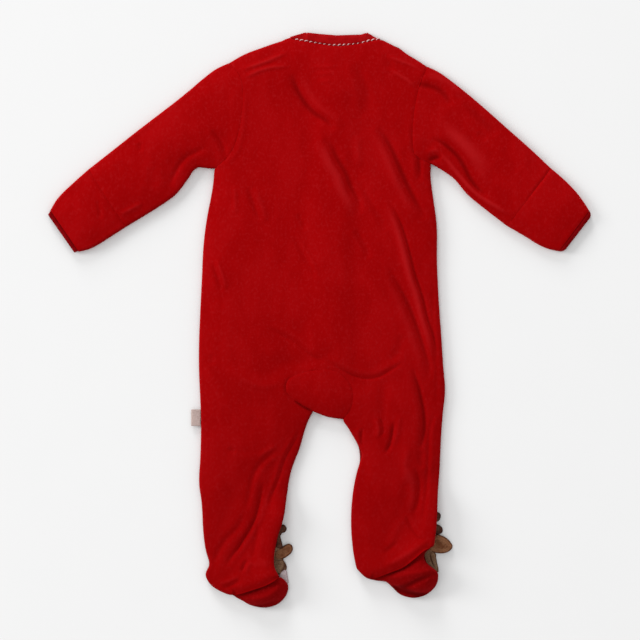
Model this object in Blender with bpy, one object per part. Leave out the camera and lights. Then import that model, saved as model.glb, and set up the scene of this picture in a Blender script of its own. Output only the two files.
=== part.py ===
"""A baby's footed sleepsuit in red velour, laid flat on its front with its back uppermost.

Sizes are in millimetres here and become metres as each mesh is made. X runs across the body with the
wearer's left arm at -X, Y runs up the body to the neck, and Z is up from the surface it lies on.
"""

import math

import bpy
import numpy as np

for old in list(bpy.data.objects):
    bpy.data.objects.remove(old, do_unlink=True)

MM = 0.001

# Cloth
WALL = 1.8  # velour with its pile
GAP = 0.3  # between two pieces at a seam, and between two layers
EDGE_TOP = 2 * WALL + GAP  # upper face of the upper layer where the two layers meet at an outline
FOLD_R = EDGE_TOP / 2  # radius of a pressed fold
CELL = 10.5  # side of a patch of the back
GUSSET_CELL = 8.0
LOFT = 6.2  # how far the air inside lifts the upper layer
LOFT_REACH = 42.0  # distance from an outline at which it is lifted all the way
FOLD_FADE = 14.0  # a crease dies away over this distance from an outline
LAP = 10.0  # each front runs this far past the middle
LAP_CLEAR = 0.6  # the lapped front stays up this far past the other's edge
LAP_SLOPE = 4.0  # and comes down over this width
CORD_R = 0.9  # piping round the neck
CORD_SIDES = 6
LEG_TOP_Y = -49.3  # level of the top of the gusset
TUCK = 4.0  # how far a sole runs in under the leg's hem
SOLE_CROWN = 5.0
TRIM_WIDTH = 4.0  # ribbed edge of a cuff
ARMHOLE_LENGTH = 115.0
SIDE_LENGTH = 202.0  # from the armhole to the level of the gusset
HIP_L = -121.0  # the sides' X at that level
HIP_R = 123.4
HALF_HIP = 121.0
GUSSET_LENGTH = 56.0  # of each of its side seams
INSEAM_LENGTH = 172.0
ARM_LENGTH = 150.0
HAND_LENGTH = 52.0
MIDDLE_AT_CROTCH = (8.0, -97.0)  # ends of the line down the middle of the fronts
MIDDLE_AT_NECK = (15.0, 238.0)
STRIP_HALF = 15.0  # the grid beside the middle line is this wide on each side
LAP_LIFT = 2.3  # how far the lapped fronts raise the back over them
LAP_LIFT_HALF = 19.0
HEM_LIFT = 2.8  # how far a leg's hem stands up over the foot at its ends
HEM_CROWN = 2.6  # and how much more at its middle
HEM_REACH = 14.0

# Colours
RED = (0.33, 0.002, 0.004)
RIB_RED = (0.24, 0.003, 0.004)
PIPING = (0.55, 0.12, 0.12)
LABEL = (0.53, 0.42, 0.39)
ANTLER = (0.085, 0.038, 0.027)
EAR = (0.19, 0.085, 0.042)
FACE = (0.19, 0.115, 0.065)
MUZZLE = (0.45, 0.38, 0.40)

# Lines of the garment, each a smooth line through a few points (x, y)
SHOULDER_L = [(-91, 257), (-75, 266), (-59, 272), (-46, 276.6), (-34, 280.3)]
SHOULDER_R = [(62.6, 279.6), (71, 275.6), (79, 272), (87, 266), (97, 260), (107, 253.5)]
NECK_BACK = [(-32, 282), (-20, 280.5), (-5, 278), (14, 275.4), (28, 276), (42, 278), (51, 280), (61, 281)]
NECK_FRONT = [
    (-32, 282), (-30, 268), (-21, 254), (-5, 243), (15, 238), (35, 243), (50, 254), (59, 268), (61, 281),
]
BAND_BACK = [(-13.5, 285.9), (0, 286.2), (18, 284.6), (34, 285.8), (46.5, 285.6)]
BAND_FRONT = [
    (-13.5, 285.9), (-17, 279), (-20, 270), (-13, 260), (-2, 252.5),
    (15, 248), (32, 252.5), (43, 260), (49, 270), (49, 279), (46.5, 285.6),
]
ARMHOLE_L = [(-91, 257), (-79, 242), (-77, 222), (-78, 205), (-82, 185), (-89, 167), (-105, 151.5)]
ARMHOLE_R = [(107, 253.5), (99, 235), (95, 217), (92.5, 198), (92, 180), (95, 164), (110, 157)]
SIDE_L = [
    (-105, 151.5), (-108, 128), (-113, 102), (-116.5, 74), (-118, 44), (-120, 2), (-121, -25), (-121, -49.3),
]
SIDE_R = [
    (110, 157), (111, 138), (114, 116), (116.8, 92), (117, 56), (119, 16), (121.5, -20), (123.4, -49.3),
]
LEG_OUT_L = [
    (-121, -49.3), (-119.5, -85), (-119, -112), (-120, -145), (-121, -162), (-118, -186), (-117, -208),
    (-114.4, -230), (-110.4, -242), (-113.2, -250), (-114.4, -256), (-111, -263), (-102, -270), (-89, -274.6),
]
LEG_OUT_R = [
    (123.4, -49.3), (125, -70), (123, -92), (121, -118), (119.5, -150), (117.5, -176), (116.3, -200),
    (115, -214), (112.6, -225.5),
]
GUSSET_L = [
    (0, -49.3), (-9, -50.5), (-20, -53.6), (-30, -57.6), (-35.2, -66), (-32, -75), (-24, -81.5), (-7, -91.3),
]
GUSSET_R = [(0, -49.3), (10, -49.6), (22, -55), (30, -65), (33, -77), (31, -88), (23, -99)]
INSEAM_L = [
    (-7, -91.3), (-13, -103), (-17, -116), (-21, -130), (-26.5, -143), (-31, -160), (-34, -181),
    (-37, -200), (-42, -215), (-45.2, -231), (-46, -244), (-40.5, -255.8),
]
INSEAM_R = [
    (23, -99), (29.5, -110), (37.5, -124), (41, -137), (37.5, -150), (33.5, -170), (31.5, -190),
    (31.5, -212), (34, -236), (38, -250),
]
HEM_L = [(-89, -274.6), (-81, -273.4), (-72, -270.5), (-62, -267), (-52, -263), (-40.5, -255.8)]
HEM_R = [
    (38, -250), (46, -257), (54, -257.6), (70, -251.4), (83, -246), (96.5, -235), (105, -228), (112.6, -225.5),
]
TOE_L = [
    (-89, -274.6), (-78, -280.5), (-68, -285.7), (-55, -287.6), (-44, -285), (-36.5, -279), (-32, -270),
    (-33.4, -262), (-40.5, -255.8),
]
TOE_R = [
    (38, -250), (46, -257.5), (58, -261), (70.5, -263.5), (77, -272), (89, -277.5), (102, -276.6), (110.5, -271.5),
    (117, -262), (118.4, -254.5), (114, -248), (105.5, -241), (103.5, -235), (112.6, -225.5),
]
CROTCH = [(-7, -91.3), (0, -94), (10, -97.4), (23, -99)]

# Sleeve sections from the armhole to the hand: over arm x, y; under arm x, y; share of the armhole's curve
SLEEVE_COLUMNS = ("over_x", "over_y", "under_x", "under_y", "curve")
SLEEVE_L = [
    (-91, 257, -105, 151.5, 1.0),
    (-108, 248.2, -113, 152, 0.80),
    (-137, 224.2, -124, 152.3, 0.50),
    (-160, 206.4, -134, 139, 0.25),
    (-184, 188, -146, 124.5, 0.10),
    (-208, 169, -168, 109.4, 0.0),
    (-231.5, 150.6, -194.5, 93.4, 0.0),
]
HAND_L = [
    (-231.5, 150.6, -194.5, 93.4, 0.0),
    (-247, 136.8, -212, 82, 0.0),
    (-262, 122, -229, 72, 0.0),
    (-272, 105.5, -245.5, 67.6, 0.0),
]
SLEEVE_R = [
    (107, 253.5, 110, 157, 1.0),
    (121, 246.4, 114, 155, 0.80),
    (144, 229, 122, 150.4, 0.50),
    (166, 210.4, 135, 141, 0.25),
    (188, 190.8, 148, 125.6, 0.10),
    (209, 172.3, 166, 110.8, 0.0),
    (231, 151.6, 187, 94.6, 0.0),
]
HAND_R = [
    (231, 151.6, 187, 94.6, 0.0),
    (246, 138.6, 206, 83.6, 0.0),
    (259.4, 124, 224, 73, 0.0),
    (272, 105, 243.5, 68.2, 0.0),
]

# Main creases: start, bend and end of each, half width, height (a trough is below zero)
CREASE_COLUMNS = ("x0", "y0", "xm", "ym", "x1", "y1", "half_width", "height")
CREASES = [
    (-28, 246, -16, 216, 10, 196, 9, -2.2),
    (2, 182, 22, 162, 38, 118, 9, -2.2),
    (58, 190, 84, 160, 98, 112, 10, -2.4),
    (75, 106, 94, 60, 120, -42, 10, -3.0),
    (80, 90, 98, 38, 112, -50, 8, 2.0),
    (67, 54, 92, 4, 106, -54, 11, -2.6),
    (6, -42, 36, -60, 68, -50, 9, -2.4),
    (-49, -6, -36, -14, -14, -32, 9, -2.0),
    (-47, -42, -20, -44, 20, -32, 12, -1.6),
    (-92, -47, -62, -68, -36, -61, 9, 1.8),
    (-108, 62, -100, 44, -95, 26, 9, 1.6),
    (-56, -162, -62, -204, -96, -246, 10, -3.6),
    (-44, -136, -78, -170, -105, -236, 12, -2.6),
    (-16, -104, -40, -150, -53, -194, 8, -2.0),
    (93, -48, 108, -104, 98, -146, 10, -2.6),
    (100, -148, 98, -186, 88, -204, 10, -2.2),
    (70, -104, 76, -112, 66, -130, 8, -1.8),
    (64, -52, 60, -86, 66, -112, 12, -1.6),
    (-128, 166, -146, 146, -152, 130, 8, -1.8),
    (-104, 188, -98, 176, -93, 164, 8, -1.8),
    (122, 174, 142, 150, 172, 122, 8, -2.6),
    (112, 172, 146, 148, 186, 104, 8, 1.6),
    (105, 234, 122, 226, 134, 212, 12, -1.8),
    (-101, -262, -90, -263, -80, -259, 8, -1.8),
]

# Where a reindeer's head lifts the edge of a leg: start and end, height
HEAD_LIFT = [
    (-39.5, -199, -45, -250, 8.0),
    (115.5, -189, 113.5, -222, 8.0),
    (113.5, -222, 105, -238, 8.0),
    (105, -238, 114, -249, 8.0),
]
LIFT_UNDER = 9.0  # reach of the lift in the lower layer
LIFT_OVER = 17.0  # and in the upper one, which it lifts a little more
OVER_SHARE = 1.04

# Plush pieces of the two reindeer, lying on the surface: x, y, half length, half width, turn in degrees, height
PLUSH_COLUMNS = ("piece", "x", "y", "half_length", "half_width", "turn", "z_low", "z_high")
PLUSH = [
    ("head_left", -42.3, -241.6, 11.0, 7.0, 90, 0.0, 7.4, FACE),
    ("muzzle_left", -35.1, -254.5, 4.7, 3.9, -41, 0.0, 7.0, MUZZLE),
    ("ear_left", -30.7, -231.5, 7.2, 4.7, 50, 0.0, 7.2, EAR),
    ("head_right", 111.8, -241.8, 11.4, 6.4, 122, 0.0, 7.4, FACE),
    ("ear_right", 119.0, -224.8, 14.0, 8.4, -8, 0.0, 7.6, EAR),
]


def smooth(points, at):
    """Points on a smooth line through `points`, at shares of its length."""
    p = np.array(points, float)
    if len(p) > 2:
        q = np.vstack([2 * p[0] - p[1], p, 2 * p[-1] - p[-2]])
        t = np.linspace(0, 1, 12, endpoint=False)[:, None]
        runs = []
        for a, b, c, d in zip(q[:-3], q[1:-2], q[2:-1], q[3:]):
            bend = (2 * a - 5 * b + 4 * c - d) * t**2 + (3 * b - a - 3 * c + d) * t**3
            runs.append(0.5 * (2 * b + (c - a) * t + bend))
        p = np.vstack(runs + [p[-1:]])
    return along(p, at)


def along(line, at):
    """Points at shares of the length of a line of straight steps."""
    run = lengths(line)
    at = np.asarray(at) * run[-1]
    return np.column_stack([np.interp(at, run, line[:, k]) for k in range(line.shape[1])])


def lengths(line):
    steps = np.sqrt((np.diff(line, axis=0) ** 2).sum(axis=1))
    return np.concatenate([[0.0], np.cumsum(steps)])


def shares(length, cell, first=(), last=()):
    """Shares of a length: even steps of about `cell`, with short ones of given sizes at its ends."""
    start = first[-1] if first else 0.0
    end = last[-1] if last else 0.0
    count = max(1, round((length - start - end) / cell))
    even = np.linspace(start, length - end, count + 1)
    near = [0.0] + list(first[:-1]) if first else []
    far = [length - s for s in reversed(last[:-1])] + [length] if last else []
    return np.concatenate([near, even, far]) / length


def moved_aside(line, amount):
    """A line moved to its left by `amount`."""
    way = np.gradient(line, axis=0)
    way /= np.linalg.norm(way, axis=1)[:, None]
    return line + amount * np.column_stack([-way[:, 1], way[:, 0]])


def patch(top, bottom, left, right, u, v):
    """A grid of plan points between four border lines that share their corners."""
    u = np.asarray(u)[None, :, None]
    v = np.asarray(v)[:, None, None]
    a, b, c, d = top[0], top[-1], bottom[0], bottom[-1]
    across = (1 - v) * top[None] + v * bottom[None] + (1 - u) * left[:, None] + u * right[:, None]
    return across - ((1 - v) * ((1 - u) * a + u * b) + v * ((1 - u) * c + u * d))


def even(points, step=3.0):
    line = smooth(points, np.linspace(0, 1, 200))
    return along(line, np.linspace(0, 1, max(2, round(lengths(line)[-1] / step))))


def over_arm(rows):
    return [(row[0], row[1]) for row in rows]


def under_arm(rows):
    return [(row[2], row[3]) for row in rows]


def outline():
    """The whole garment's outline, round once."""
    cuff_l = [HAND_L[-1][0:2], HAND_L[-1][2:4]]
    cuff_r = [HAND_R[-1][0:2], HAND_R[-1][2:4]]
    parts = [
        even(SHOULDER_L)[::-1],
        even(over_arm(SLEEVE_L)), even(over_arm(HAND_L)),
        even(cuff_l),
        even(under_arm(HAND_L))[::-1], even(under_arm(SLEEVE_L))[::-1],
        even(SIDE_L), even(LEG_OUT_L), even(TOE_L), even(INSEAM_L)[::-1],
        even(CROTCH), even(INSEAM_R), even(TOE_R), even(LEG_OUT_R)[::-1], even(SIDE_R)[::-1],
        even(under_arm(SLEEVE_R)), even(under_arm(HAND_R)),
        even(cuff_r)[::-1],
        even(over_arm(HAND_R))[::-1], even(over_arm(SLEEVE_R))[::-1],
        even(SHOULDER_R)[::-1],
        even(BAND_BACK)[::-1],
    ]
    return np.vstack(parts)


def to_line(x, y, line, closed=False):
    """Distance to a line of straight steps, and the share of the line at the nearest point."""
    line = np.asarray(line, float)
    if closed:
        line = np.vstack([line, line[:1]])
    best = np.full(np.shape(x), 1e9)
    share = np.zeros(np.shape(x))
    run = lengths(line)
    for k in range(len(line) - 1):
        a = line[k]
        way = line[k + 1] - a
        size = float(way @ way)
        if size < 1e-12:
            continue
        t = np.clip(((x - a[0]) * way[0] + (y - a[1]) * way[1]) / size, 0, 1)
        d = np.hypot(x - a[0] - t * way[0], y - a[1] - t * way[1])
        nearer = d < best
        best = np.where(nearer, d, best)
        share = np.where(nearer, (run[k] + t * (run[k + 1] - run[k])) / run[-1], share)
    return best, share


def bent(x0, y0, xm, ym, x1, y1):
    t = np.linspace(0, 1, 9)[:, None]
    a, b, c = np.array((x0, y0)), np.array((xm, ym)), np.array((x1, y1))
    control = 2 * b - (a + c) / 2
    return (1 - t) ** 2 * a + 2 * t * (1 - t) * control + t**2 * c


OUTLINE = outline()


def head_lift(x, y, reach):
    lift = np.zeros(np.shape(x))
    for x0, y0, x1, y1, height in HEAD_LIFT:
        d, _ = to_line(x, y, [(x0, y0), (x1, y1)])
        lift = np.maximum(lift, height * np.exp(-((d / reach) ** 2)))
    return lift


def middle_x(y):
    """The middle of the fronts, from the neck to the crotch."""
    (x0, y0), (x1, y1) = MIDDLE_AT_CROTCH, MIDDLE_AT_NECK
    return x0 + (x1 - x0) * (y - y0) / (y1 - y0)


def lap_bulge(x, y):
    """What the lapped fronts add under the back."""
    d = np.abs(x - middle_x(y))
    along_body = np.clip((255 - y) / 20, 0, 1) * np.clip((y + 125) / 20, 0, 1)
    return LAP_LIFT * np.exp(-((d / LAP_LIFT_HALF) ** 6)) * along_body


def top(x, y):
    """Upper face of the upper layer."""
    x, y = np.asarray(x, float), np.asarray(y, float)
    d, _ = to_line(x, y, OUTLINE, closed=True)
    t = np.clip((d - GAP) / LOFT_REACH, 0, 1)
    height = EDGE_TOP + LOFT * np.sqrt(1 - (1 - t) ** 2)
    fade = np.clip(d / FOLD_FADE, 0, 1)
    creases = 0.0
    for row in CREASES:
        near, share = to_line(x, y, bent(*row[:6]))
        creases = creases + row[7] * np.exp(-((near / row[6]) ** 2)) * (1 - (2 * share - 1) ** 4)
    height = np.maximum(height + fade * creases, EDGE_TOP)
    return height + OVER_SHARE * head_lift(x, y, LIFT_OVER) + lap_bulge(x, y)


def hem_rise(x, y):
    """The leg's back stands up over the foot along its hem."""
    d, _ = to_line(x, y, OUTLINE, closed=True)
    in_from_edge = np.clip(d / 12.0, 0, 1)
    rise = 0.0
    for hem in (HEM_L, HEM_R):
        near, _ = to_line(x, y, even(hem))
        crown = HEM_LIFT + HEM_CROWN * np.sqrt(1 - (1 - in_from_edge) ** 2)
        rise = rise + crown * np.exp(-((near / HEM_REACH) ** 2))
    return rise


def back_top(x, y):
    return top(x, y) + hem_rise(x, y)


def back_low(x, y):
    return back_top(x, y) - WALL


def floor_low(x, y):
    """Lower face of the layer that lies on the surface."""
    return head_lift(np.asarray(x, float), np.asarray(y, float), LIFT_UNDER)


def floor_top(x, y):
    return floor_low(x, y) + WALL


def lapped_low(x, y):
    """As floor_low, stepping up on to the other front at the middle."""
    past = (np.asarray(x) - middle_x(np.asarray(y)) - LAP - LAP_CLEAR) / LAP_SLOPE
    step = np.clip(1 - past, 0, 1)
    return floor_low(x, y) + (WALL + GAP) * step


def lapped_top(x, y):
    return lapped_low(x, y) + WALL


def material(name, colour):
    made = bpy.data.materials.new(name)
    made.use_nodes = True
    shader = made.node_tree.nodes["Principled BSDF"]
    shader.inputs["Base Color"].default_value = (*colour, 1)
    shader.inputs["Roughness"].default_value = 0.9
    return made


collection = bpy.data.collections.new("footed_sleepsuit")
bpy.context.scene.collection.children.link(collection)
cloth_red = material("cloth_red", RED)
rib_red = material("rib_red", RIB_RED)
piping_stripe = material("piping_stripe", PIPING)
label_tape = material("label_tape", LABEL)
PLUSH_MATERIALS = {
    ANTLER: material("plush_antler", ANTLER),
    EAR: material("plush_ear", EAR),
    FACE: material("plush_face", FACE),
    MUZZLE: material("plush_muzzle", MUZZLE),
}


def solid(name, points, faces, look):
    mesh = bpy.data.meshes.new(name)
    mesh.from_pydata([tuple(float(c) * MM for c in p) for p in points], [], faces)
    mesh.validate()
    mesh.materials.append(look)
    made = bpy.data.objects.new(name, mesh)
    collection.objects.link(made)
    return made


def joined_plan(grids):
    """Plan points and four-sided faces of grids that share borders."""
    index = {}
    points = []
    faces = []
    for grid in grids:
        down, over = grid[-1, 0] - grid[0, 0], grid[0, -1] - grid[0, 0]
        if down[0] * over[1] - down[1] * over[0] < 0:
            grid = grid[:, ::-1]
        ids = np.zeros(grid.shape[:2], int)
        for r in range(grid.shape[0]):
            for c in range(grid.shape[1]):
                key = (round(grid[r, c, 0], 3), round(grid[r, c, 1], 3))
                if key not in index:
                    index[key] = len(points)
                    points.append(grid[r, c])
                ids[r, c] = index[key]
        for r in range(grid.shape[0] - 1):
            for c in range(grid.shape[1] - 1):
                face = [ids[r, c], ids[r + 1, c], ids[r + 1, c + 1], ids[r, c + 1]]
                face = [k for n, k in enumerate(face) if k != face[n - 1]]
                if len(face) > 2:
                    faces.append(face)
    return np.array(points), faces


def border(faces):
    """Directed edges that belong to one face, with the cloth on their left."""
    edges = {(face[n - 1], face[n]) for face in faces for n in range(len(face))}
    return [edge for edge in edges if edge[::-1] not in edges]


def inset(points, faces, amount):
    """Border points moved in by `amount`, which leaves the seam's gap."""
    inward = np.zeros_like(points)
    for a, b in border(faces):
        way = points[b] - points[a]
        way = np.array((-way[1], way[0])) / np.linalg.norm(way)
        inward[a] += way
        inward[b] += way
    size = np.linalg.norm(inward, axis=1)
    on = size > 1e-9
    moved = points.copy()
    moved[on] += amount * 2 * inward[on] / np.maximum(size[on] ** 2, 1.0)[:, None]
    return moved


def sheet(name, grids, low, high, look, gap=GAP / 2):
    """A wall of cloth over joined plan grids, between two heights."""
    points, faces = joined_plan(grids)
    points = inset(points, faces, gap)
    x, y = points.T
    count = len(points)
    below = np.column_stack([x, y, low(x, y)])
    above = np.column_stack([x, y, high(x, y)])
    walls = [[a, b, b + count, a + count] for a, b in border(faces)]
    upper = [[k + count for k in face] for face in faces]
    lower = [face[::-1] for face in faces]
    return solid(name, np.vstack([below, above]), lower + upper + walls, look)


def closed_rings(name, outer, inner, look):
    """A wall between two stacks of closed rings, which open at both ends."""
    rings, ring = outer.shape[:2]
    points = np.vstack([outer.reshape(-1, 3), inner.reshape(-1, 3)])
    shift = rings * ring
    faces = []
    for r in range(rings - 1):
        for c in range(ring):
            d = (c + 1) % ring
            a, b, e, f = r * ring + c, r * ring + d, (r + 1) * ring + d, (r + 1) * ring + c
            faces.append([a, b, e, f])
            faces.append([shift + f, shift + e, shift + b, shift + a])
    last = (rings - 1) * ring
    for c in range(ring):
        d = (c + 1) % ring
        faces.append([c, shift + c, shift + d, d])
        faces.append([last + d, shift + last + d, shift + last + c, last + c])
    return solid(name, points, outward(points, faces), look)


def outward(points, faces):
    """The faces turned so that they enclose a volume above zero."""
    volume = 0.0
    for face in faces:
        a = points[face[0]]
        for n in range(1, len(face) - 1):
            volume += np.dot(a, np.cross(points[face[n]], points[face[n + 1]]))
    return faces if volume > 0 else [face[::-1] for face in faces]


OUTER_IN = (0.0, 0.6, 2.4)  # distances in from a fold of the outer skin's first points
INNER_IN = (1.8, 2.1, 3.4)
FOLD_Z = (1.95, 3.5)  # heights of the outer skin's first two points
INNER_Z = (1.95, 2.9)


def flat_tube(name, sections, look):
    """A flattened tube lying on the surface; each section is a line from one fold to the other."""
    outer, inner = [], []
    widest = lengths(sections[0]) / lengths(sections[0])[-1]
    keep = (widest > 0.078) & (widest < 0.922)
    for line in sections:
        length = lengths(line)[-1]
        inside = lengths(line)[keep]
        outer_at = np.concatenate([OUTER_IN, inside, length - np.array(OUTER_IN[::-1])]) / length
        inner_at = np.concatenate([INNER_IN, inside, length - np.array(INNER_IN[::-1])]) / length
        out_plan, in_plan = along(line, outer_at), along(line, inner_at)
        out_z, in_z = top(*out_plan.T), top(*in_plan.T) - WALL
        out_z[:2], out_z[-2:] = FOLD_Z, FOLD_Z[::-1]
        in_z[:2], in_z[-2:] = INNER_Z, INNER_Z[::-1]
        out_low, in_low = np.zeros(len(out_z)), np.full(len(in_z), WALL)
        out_low[:2], out_low[-2:] = (FOLD_R, 0.5), (0.5, FOLD_R)
        in_low[1], in_low[-2] = 1.82, 1.82
        outer.append(ring_of(out_plan, out_z, out_low))
        inner.append(ring_of(in_plan, in_z, in_low))
    return closed_rings(name, np.array(outer), np.array(inner), look)


def ring_of(plan, over, under):
    upper = np.column_stack([plan, over])
    lower = np.column_stack([plan, under])[1:-1][::-1]
    return np.vstack([upper, lower])


def arm_sections(rows, armhole, at, steps):
    """Sections along an arm, spaced by share of its length."""
    rows = np.array(rows, float)
    chord = armhole[0] + (armhole[-1] - armhole[0]) * at[:, None]
    bow = armhole - chord
    middle = (rows[:, :2] + rows[:, 2:4]) / 2
    run = lengths(middle) / lengths(middle)[-1]
    dense = np.linspace(0, 1, 121)
    over = smooth(rows[:, :2], dense)
    under = smooth(rows[:, 2:4], dense)
    knots_over = knot_shares(rows[:, :2])
    knots_under = knot_shares(rows[:, 2:4])
    sections = []
    for s in steps:
        a = along(over, [np.interp(s, run, knots_over)])[0]
        b = along(under, [np.interp(s, run, knots_under)])[0]
        share = np.interp(s, run, rows[:, 4])
        sections.append(a + (b - a) * at[:, None] + bow * share)
    return sections


def knot_shares(points):
    """Share of the smooth line's length at each of its own points."""
    line = smooth(points, np.linspace(0, 1, 600))
    run = lengths(line) / lengths(line)[-1]
    found = [run[np.argmin(((line - p) ** 2).sum(axis=1))] for p in points]
    found[0], found[-1] = 0.0, 1.0
    return np.array(found)


# Shared seam lines -------------------------------------------------------------------------------
NEAR_EDGE = (1.3, 4.5)

neck_back_line = smooth(NECK_BACK, np.linspace(0, 1, 120))
neck_front_line = smooth(NECK_FRONT, np.linspace(0, 1, 160))

rows_arm = shares(ARMHOLE_LENGTH, CELL, NEAR_EDGE)
armhole_l = smooth(ARMHOLE_L, rows_arm)
armhole_r = smooth(ARMHOLE_R, rows_arm)

rows_side = shares(SIDE_LENGTH, CELL)
left_edge = np.vstack([armhole_l, smooth(SIDE_L, rows_side)[1:]])
right_edge = np.vstack([armhole_r, smooth(SIDE_R, rows_side)[1:]])
body_v = np.concatenate([rows_arm * ARMHOLE_LENGTH, ARMHOLE_LENGTH + rows_side[1:] * SIDE_LENGTH])
body_v /= body_v[-1]

half_u = shares(HALF_HIP, CELL, NEAR_EDGE, NEAR_EDGE)
body_u = np.concatenate([half_u / 2, 0.5 + half_u[1:] / 2])


# Back: one piece from the shoulders down both legs ------------------------------------------------
def shoulder_line(at):
    """From arm to arm over both shoulders and along the neck."""
    neck = moved_aside(neck_back_line, -CORD_R - GAP)[6:-6]
    return along(np.vstack([even(SHOULDER_L, 2.0), neck, even(SHOULDER_R, 2.0)]), at)


def back_grids():
    shoulders = shoulder_line(body_u)
    hips = np.vstack([
        np.column_stack([HIP_L * (1 - half_u), np.full(len(half_u), LEG_TOP_Y)]),
        np.column_stack([HIP_R * half_u[1:], np.full(len(half_u) - 1, LEG_TOP_Y)]),
    ])
    body = patch(shoulders, hips, left_edge, right_edge, body_u, body_v)
    gusset_rows = shares(GUSSET_LENGTH, GUSSET_CELL)
    inseam_rows = shares(INSEAM_LENGTH, CELL)
    v = np.concatenate([gusset_rows * GUSSET_LENGTH, GUSSET_LENGTH + inseam_rows[1:] * INSEAM_LENGTH])
    v /= v[-1]
    inner_l = np.vstack([smooth(GUSSET_L, gusset_rows), smooth(INSEAM_L, inseam_rows)[1:]])
    inner_r = np.vstack([smooth(GUSSET_R, gusset_rows), smooth(INSEAM_R, inseam_rows)[1:]])
    outer_l, outer_r = smooth(LEG_OUT_L, v), smooth(LEG_OUT_R, v)
    middle = len(half_u) - 1
    leg_l = patch(hips[: middle + 1], smooth(HEM_L, half_u), outer_l, inner_l, half_u, v)
    leg_r = patch(hips[middle:], smooth(HEM_R, half_u), inner_r, outer_r, half_u, v)
    return body, leg_l, leg_r, smooth(GUSSET_L, gusset_rows), smooth(GUSSET_R, gusset_rows)


body_grid, leg_grid_l, leg_grid_r, gusset_seam_l, gusset_seam_r = back_grids()
sheet("back_panel", [body_grid, leg_grid_l, leg_grid_r], back_low, back_top, cloth_red)

# Gusset: the rounded piece let in at the seat, which turns down at the crotch ----------------------
rim = np.vstack([gusset_seam_l[::-1], gusset_seam_r[1:]])
corner_l, corner_r = len(gusset_seam_l) - 4, len(gusset_seam_l) + 2
gusset_top_line = rim[corner_l : corner_r + 1]
gusset_left = rim[: corner_l + 1][::-1]
gusset_right = rim[corner_r:]


def gusset_grid():
    u = lengths(gusset_top_line) / lengths(gusset_top_line)[-1]
    count = min(len(gusset_left), len(gusset_right))
    v = np.linspace(0, 1, count)
    left = gusset_left if len(gusset_left) == count else along(gusset_left, v)
    right = gusset_right if len(gusset_right) == count else along(gusset_right, v)
    return patch(gusset_top_line, smooth(CROTCH, u), left, right, u, v)


sheet("gusset", [gusset_grid()], lambda x, y: top(x, y) - WALL, top, cloth_red, gap=GAP)


# Fronts: two halves that lap at the middle --------------------------------------------------------
def on_neckline(side, offset):
    """The fronts' neckline from a shoulder to the line `offset` from the middle."""
    line = moved_aside(neck_front_line, -CORD_R - GAP - 0.3)
    low = len(line) // 2
    half = line[4 : low + 30] if side < 0 else line[low - 30 : -4][::-1]
    ahead = (half[:, 0] - middle_x(half[:, 1]) - offset) * -side
    stop = int(np.argmax(ahead > 0))
    a, b = half[stop - 1], half[stop]
    t = -ahead[stop - 1] / (ahead[stop] - ahead[stop - 1])
    return np.vstack([half[:stop], a + (b - a) * t])


def strip(low_offset, high_offset, v, steps):
    """A lap's grid between two lines beside the middle, from the neckline to the crotch."""
    crotch = even(CROTCH, 0.5)
    columns = []
    for offset in np.linspace(low_offset, high_offset, steps):
        side = -1 if offset <= 0 else 1
        start = on_neckline(side, offset)[-1]
        x_end = MIDDLE_AT_CROTCH[0] + offset
        end = np.array((x_end, np.interp(x_end, crotch[:, 0], crotch[:, 1])))
        columns.append(start + (end - start) * v[:, None])
    return np.array(columns).transpose(1, 0, 2)


FRONT_CELL = 16.0
FLANK_L = 238.0  # lengths from the armhole to the level of the crotch
FLANK_R = 244.0
FRONT_WIDTH = 130.0  # along a shoulder and the neckline
front_side_l = smooth(SIDE_L + LEG_OUT_L[1:2], shares(FLANK_L, FRONT_CELL))
front_side_r = smooth(SIDE_R + LEG_OUT_R[1:3], shares(FLANK_R, FRONT_CELL))


def front_half(side, offset):
    arm = armhole_l if side < 0 else armhole_r
    flank = front_side_l if side < 0 else front_side_r
    outer = np.vstack([arm, flank[1:]])
    v = lengths(outer) / lengths(outer)[-1]
    shoulder = even(SHOULDER_L if side < 0 else SHOULDER_R[::-1], 2.0)
    u = shares(FRONT_WIDTH, FRONT_CELL / 2)
    over = along(np.vstack([shoulder, on_neckline(side, offset)]), u)
    crotch = even(CROTCH, 0.5)
    x_end = MIDDLE_AT_CROTCH[0] + offset
    end = np.array((x_end, np.interp(x_end, crotch[:, 0], crotch[:, 1])))
    inner = over[-1] + (end - over[-1]) * v[:, None]
    under = outer[-1] + (end - outer[-1]) * u[:, None]
    return patch(over, under, outer, inner, u, v), u, v


def front_leg(side, grid, u, ankle):
    row = grid[-1]
    outer_line = smooth(LEG_OUT_L if side < 0 else LEG_OUT_R, np.linspace(0, 1, 400))
    inner_line = smooth(INSEAM_L if side < 0 else INSEAM_R, np.linspace(0, 1, 400))
    outer_line = cut_between(outer_line, row[0], ankle[0])
    inner_line = cut_between(inner_line, row[-1], ankle[1])
    v = shares(lengths(outer_line)[-1], FRONT_CELL)
    hem = np.array(ankle[0]) + (np.array(ankle[1]) - np.array(ankle[0])) * u[:, None]
    return patch(row, hem, along(outer_line, v), along(inner_line, v), u, v)


def cut_between(line, start, end):
    a = int(np.argmin(((line - start) ** 2).sum(axis=1)))
    b = int(np.argmin(((line - end) ** 2).sum(axis=1)))
    return np.vstack([[start], line[a + 1 : b], [end]])


ANKLE_L = ((-114.9, -228.0), (-44.6, -228.0))
ANKLE_R = ((113.6, -221.5), (32.4, -221.5))

grid_l, u_l, v_l = front_half(-1, -STRIP_HALF)
lap_l = strip(-STRIP_HALF, LAP, v_l, 3)
leg_l = front_leg(-1, grid_l, u_l, ANKLE_L)
sheet("front_left", [grid_l, lap_l, leg_l], floor_low, floor_top, cloth_red)

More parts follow.
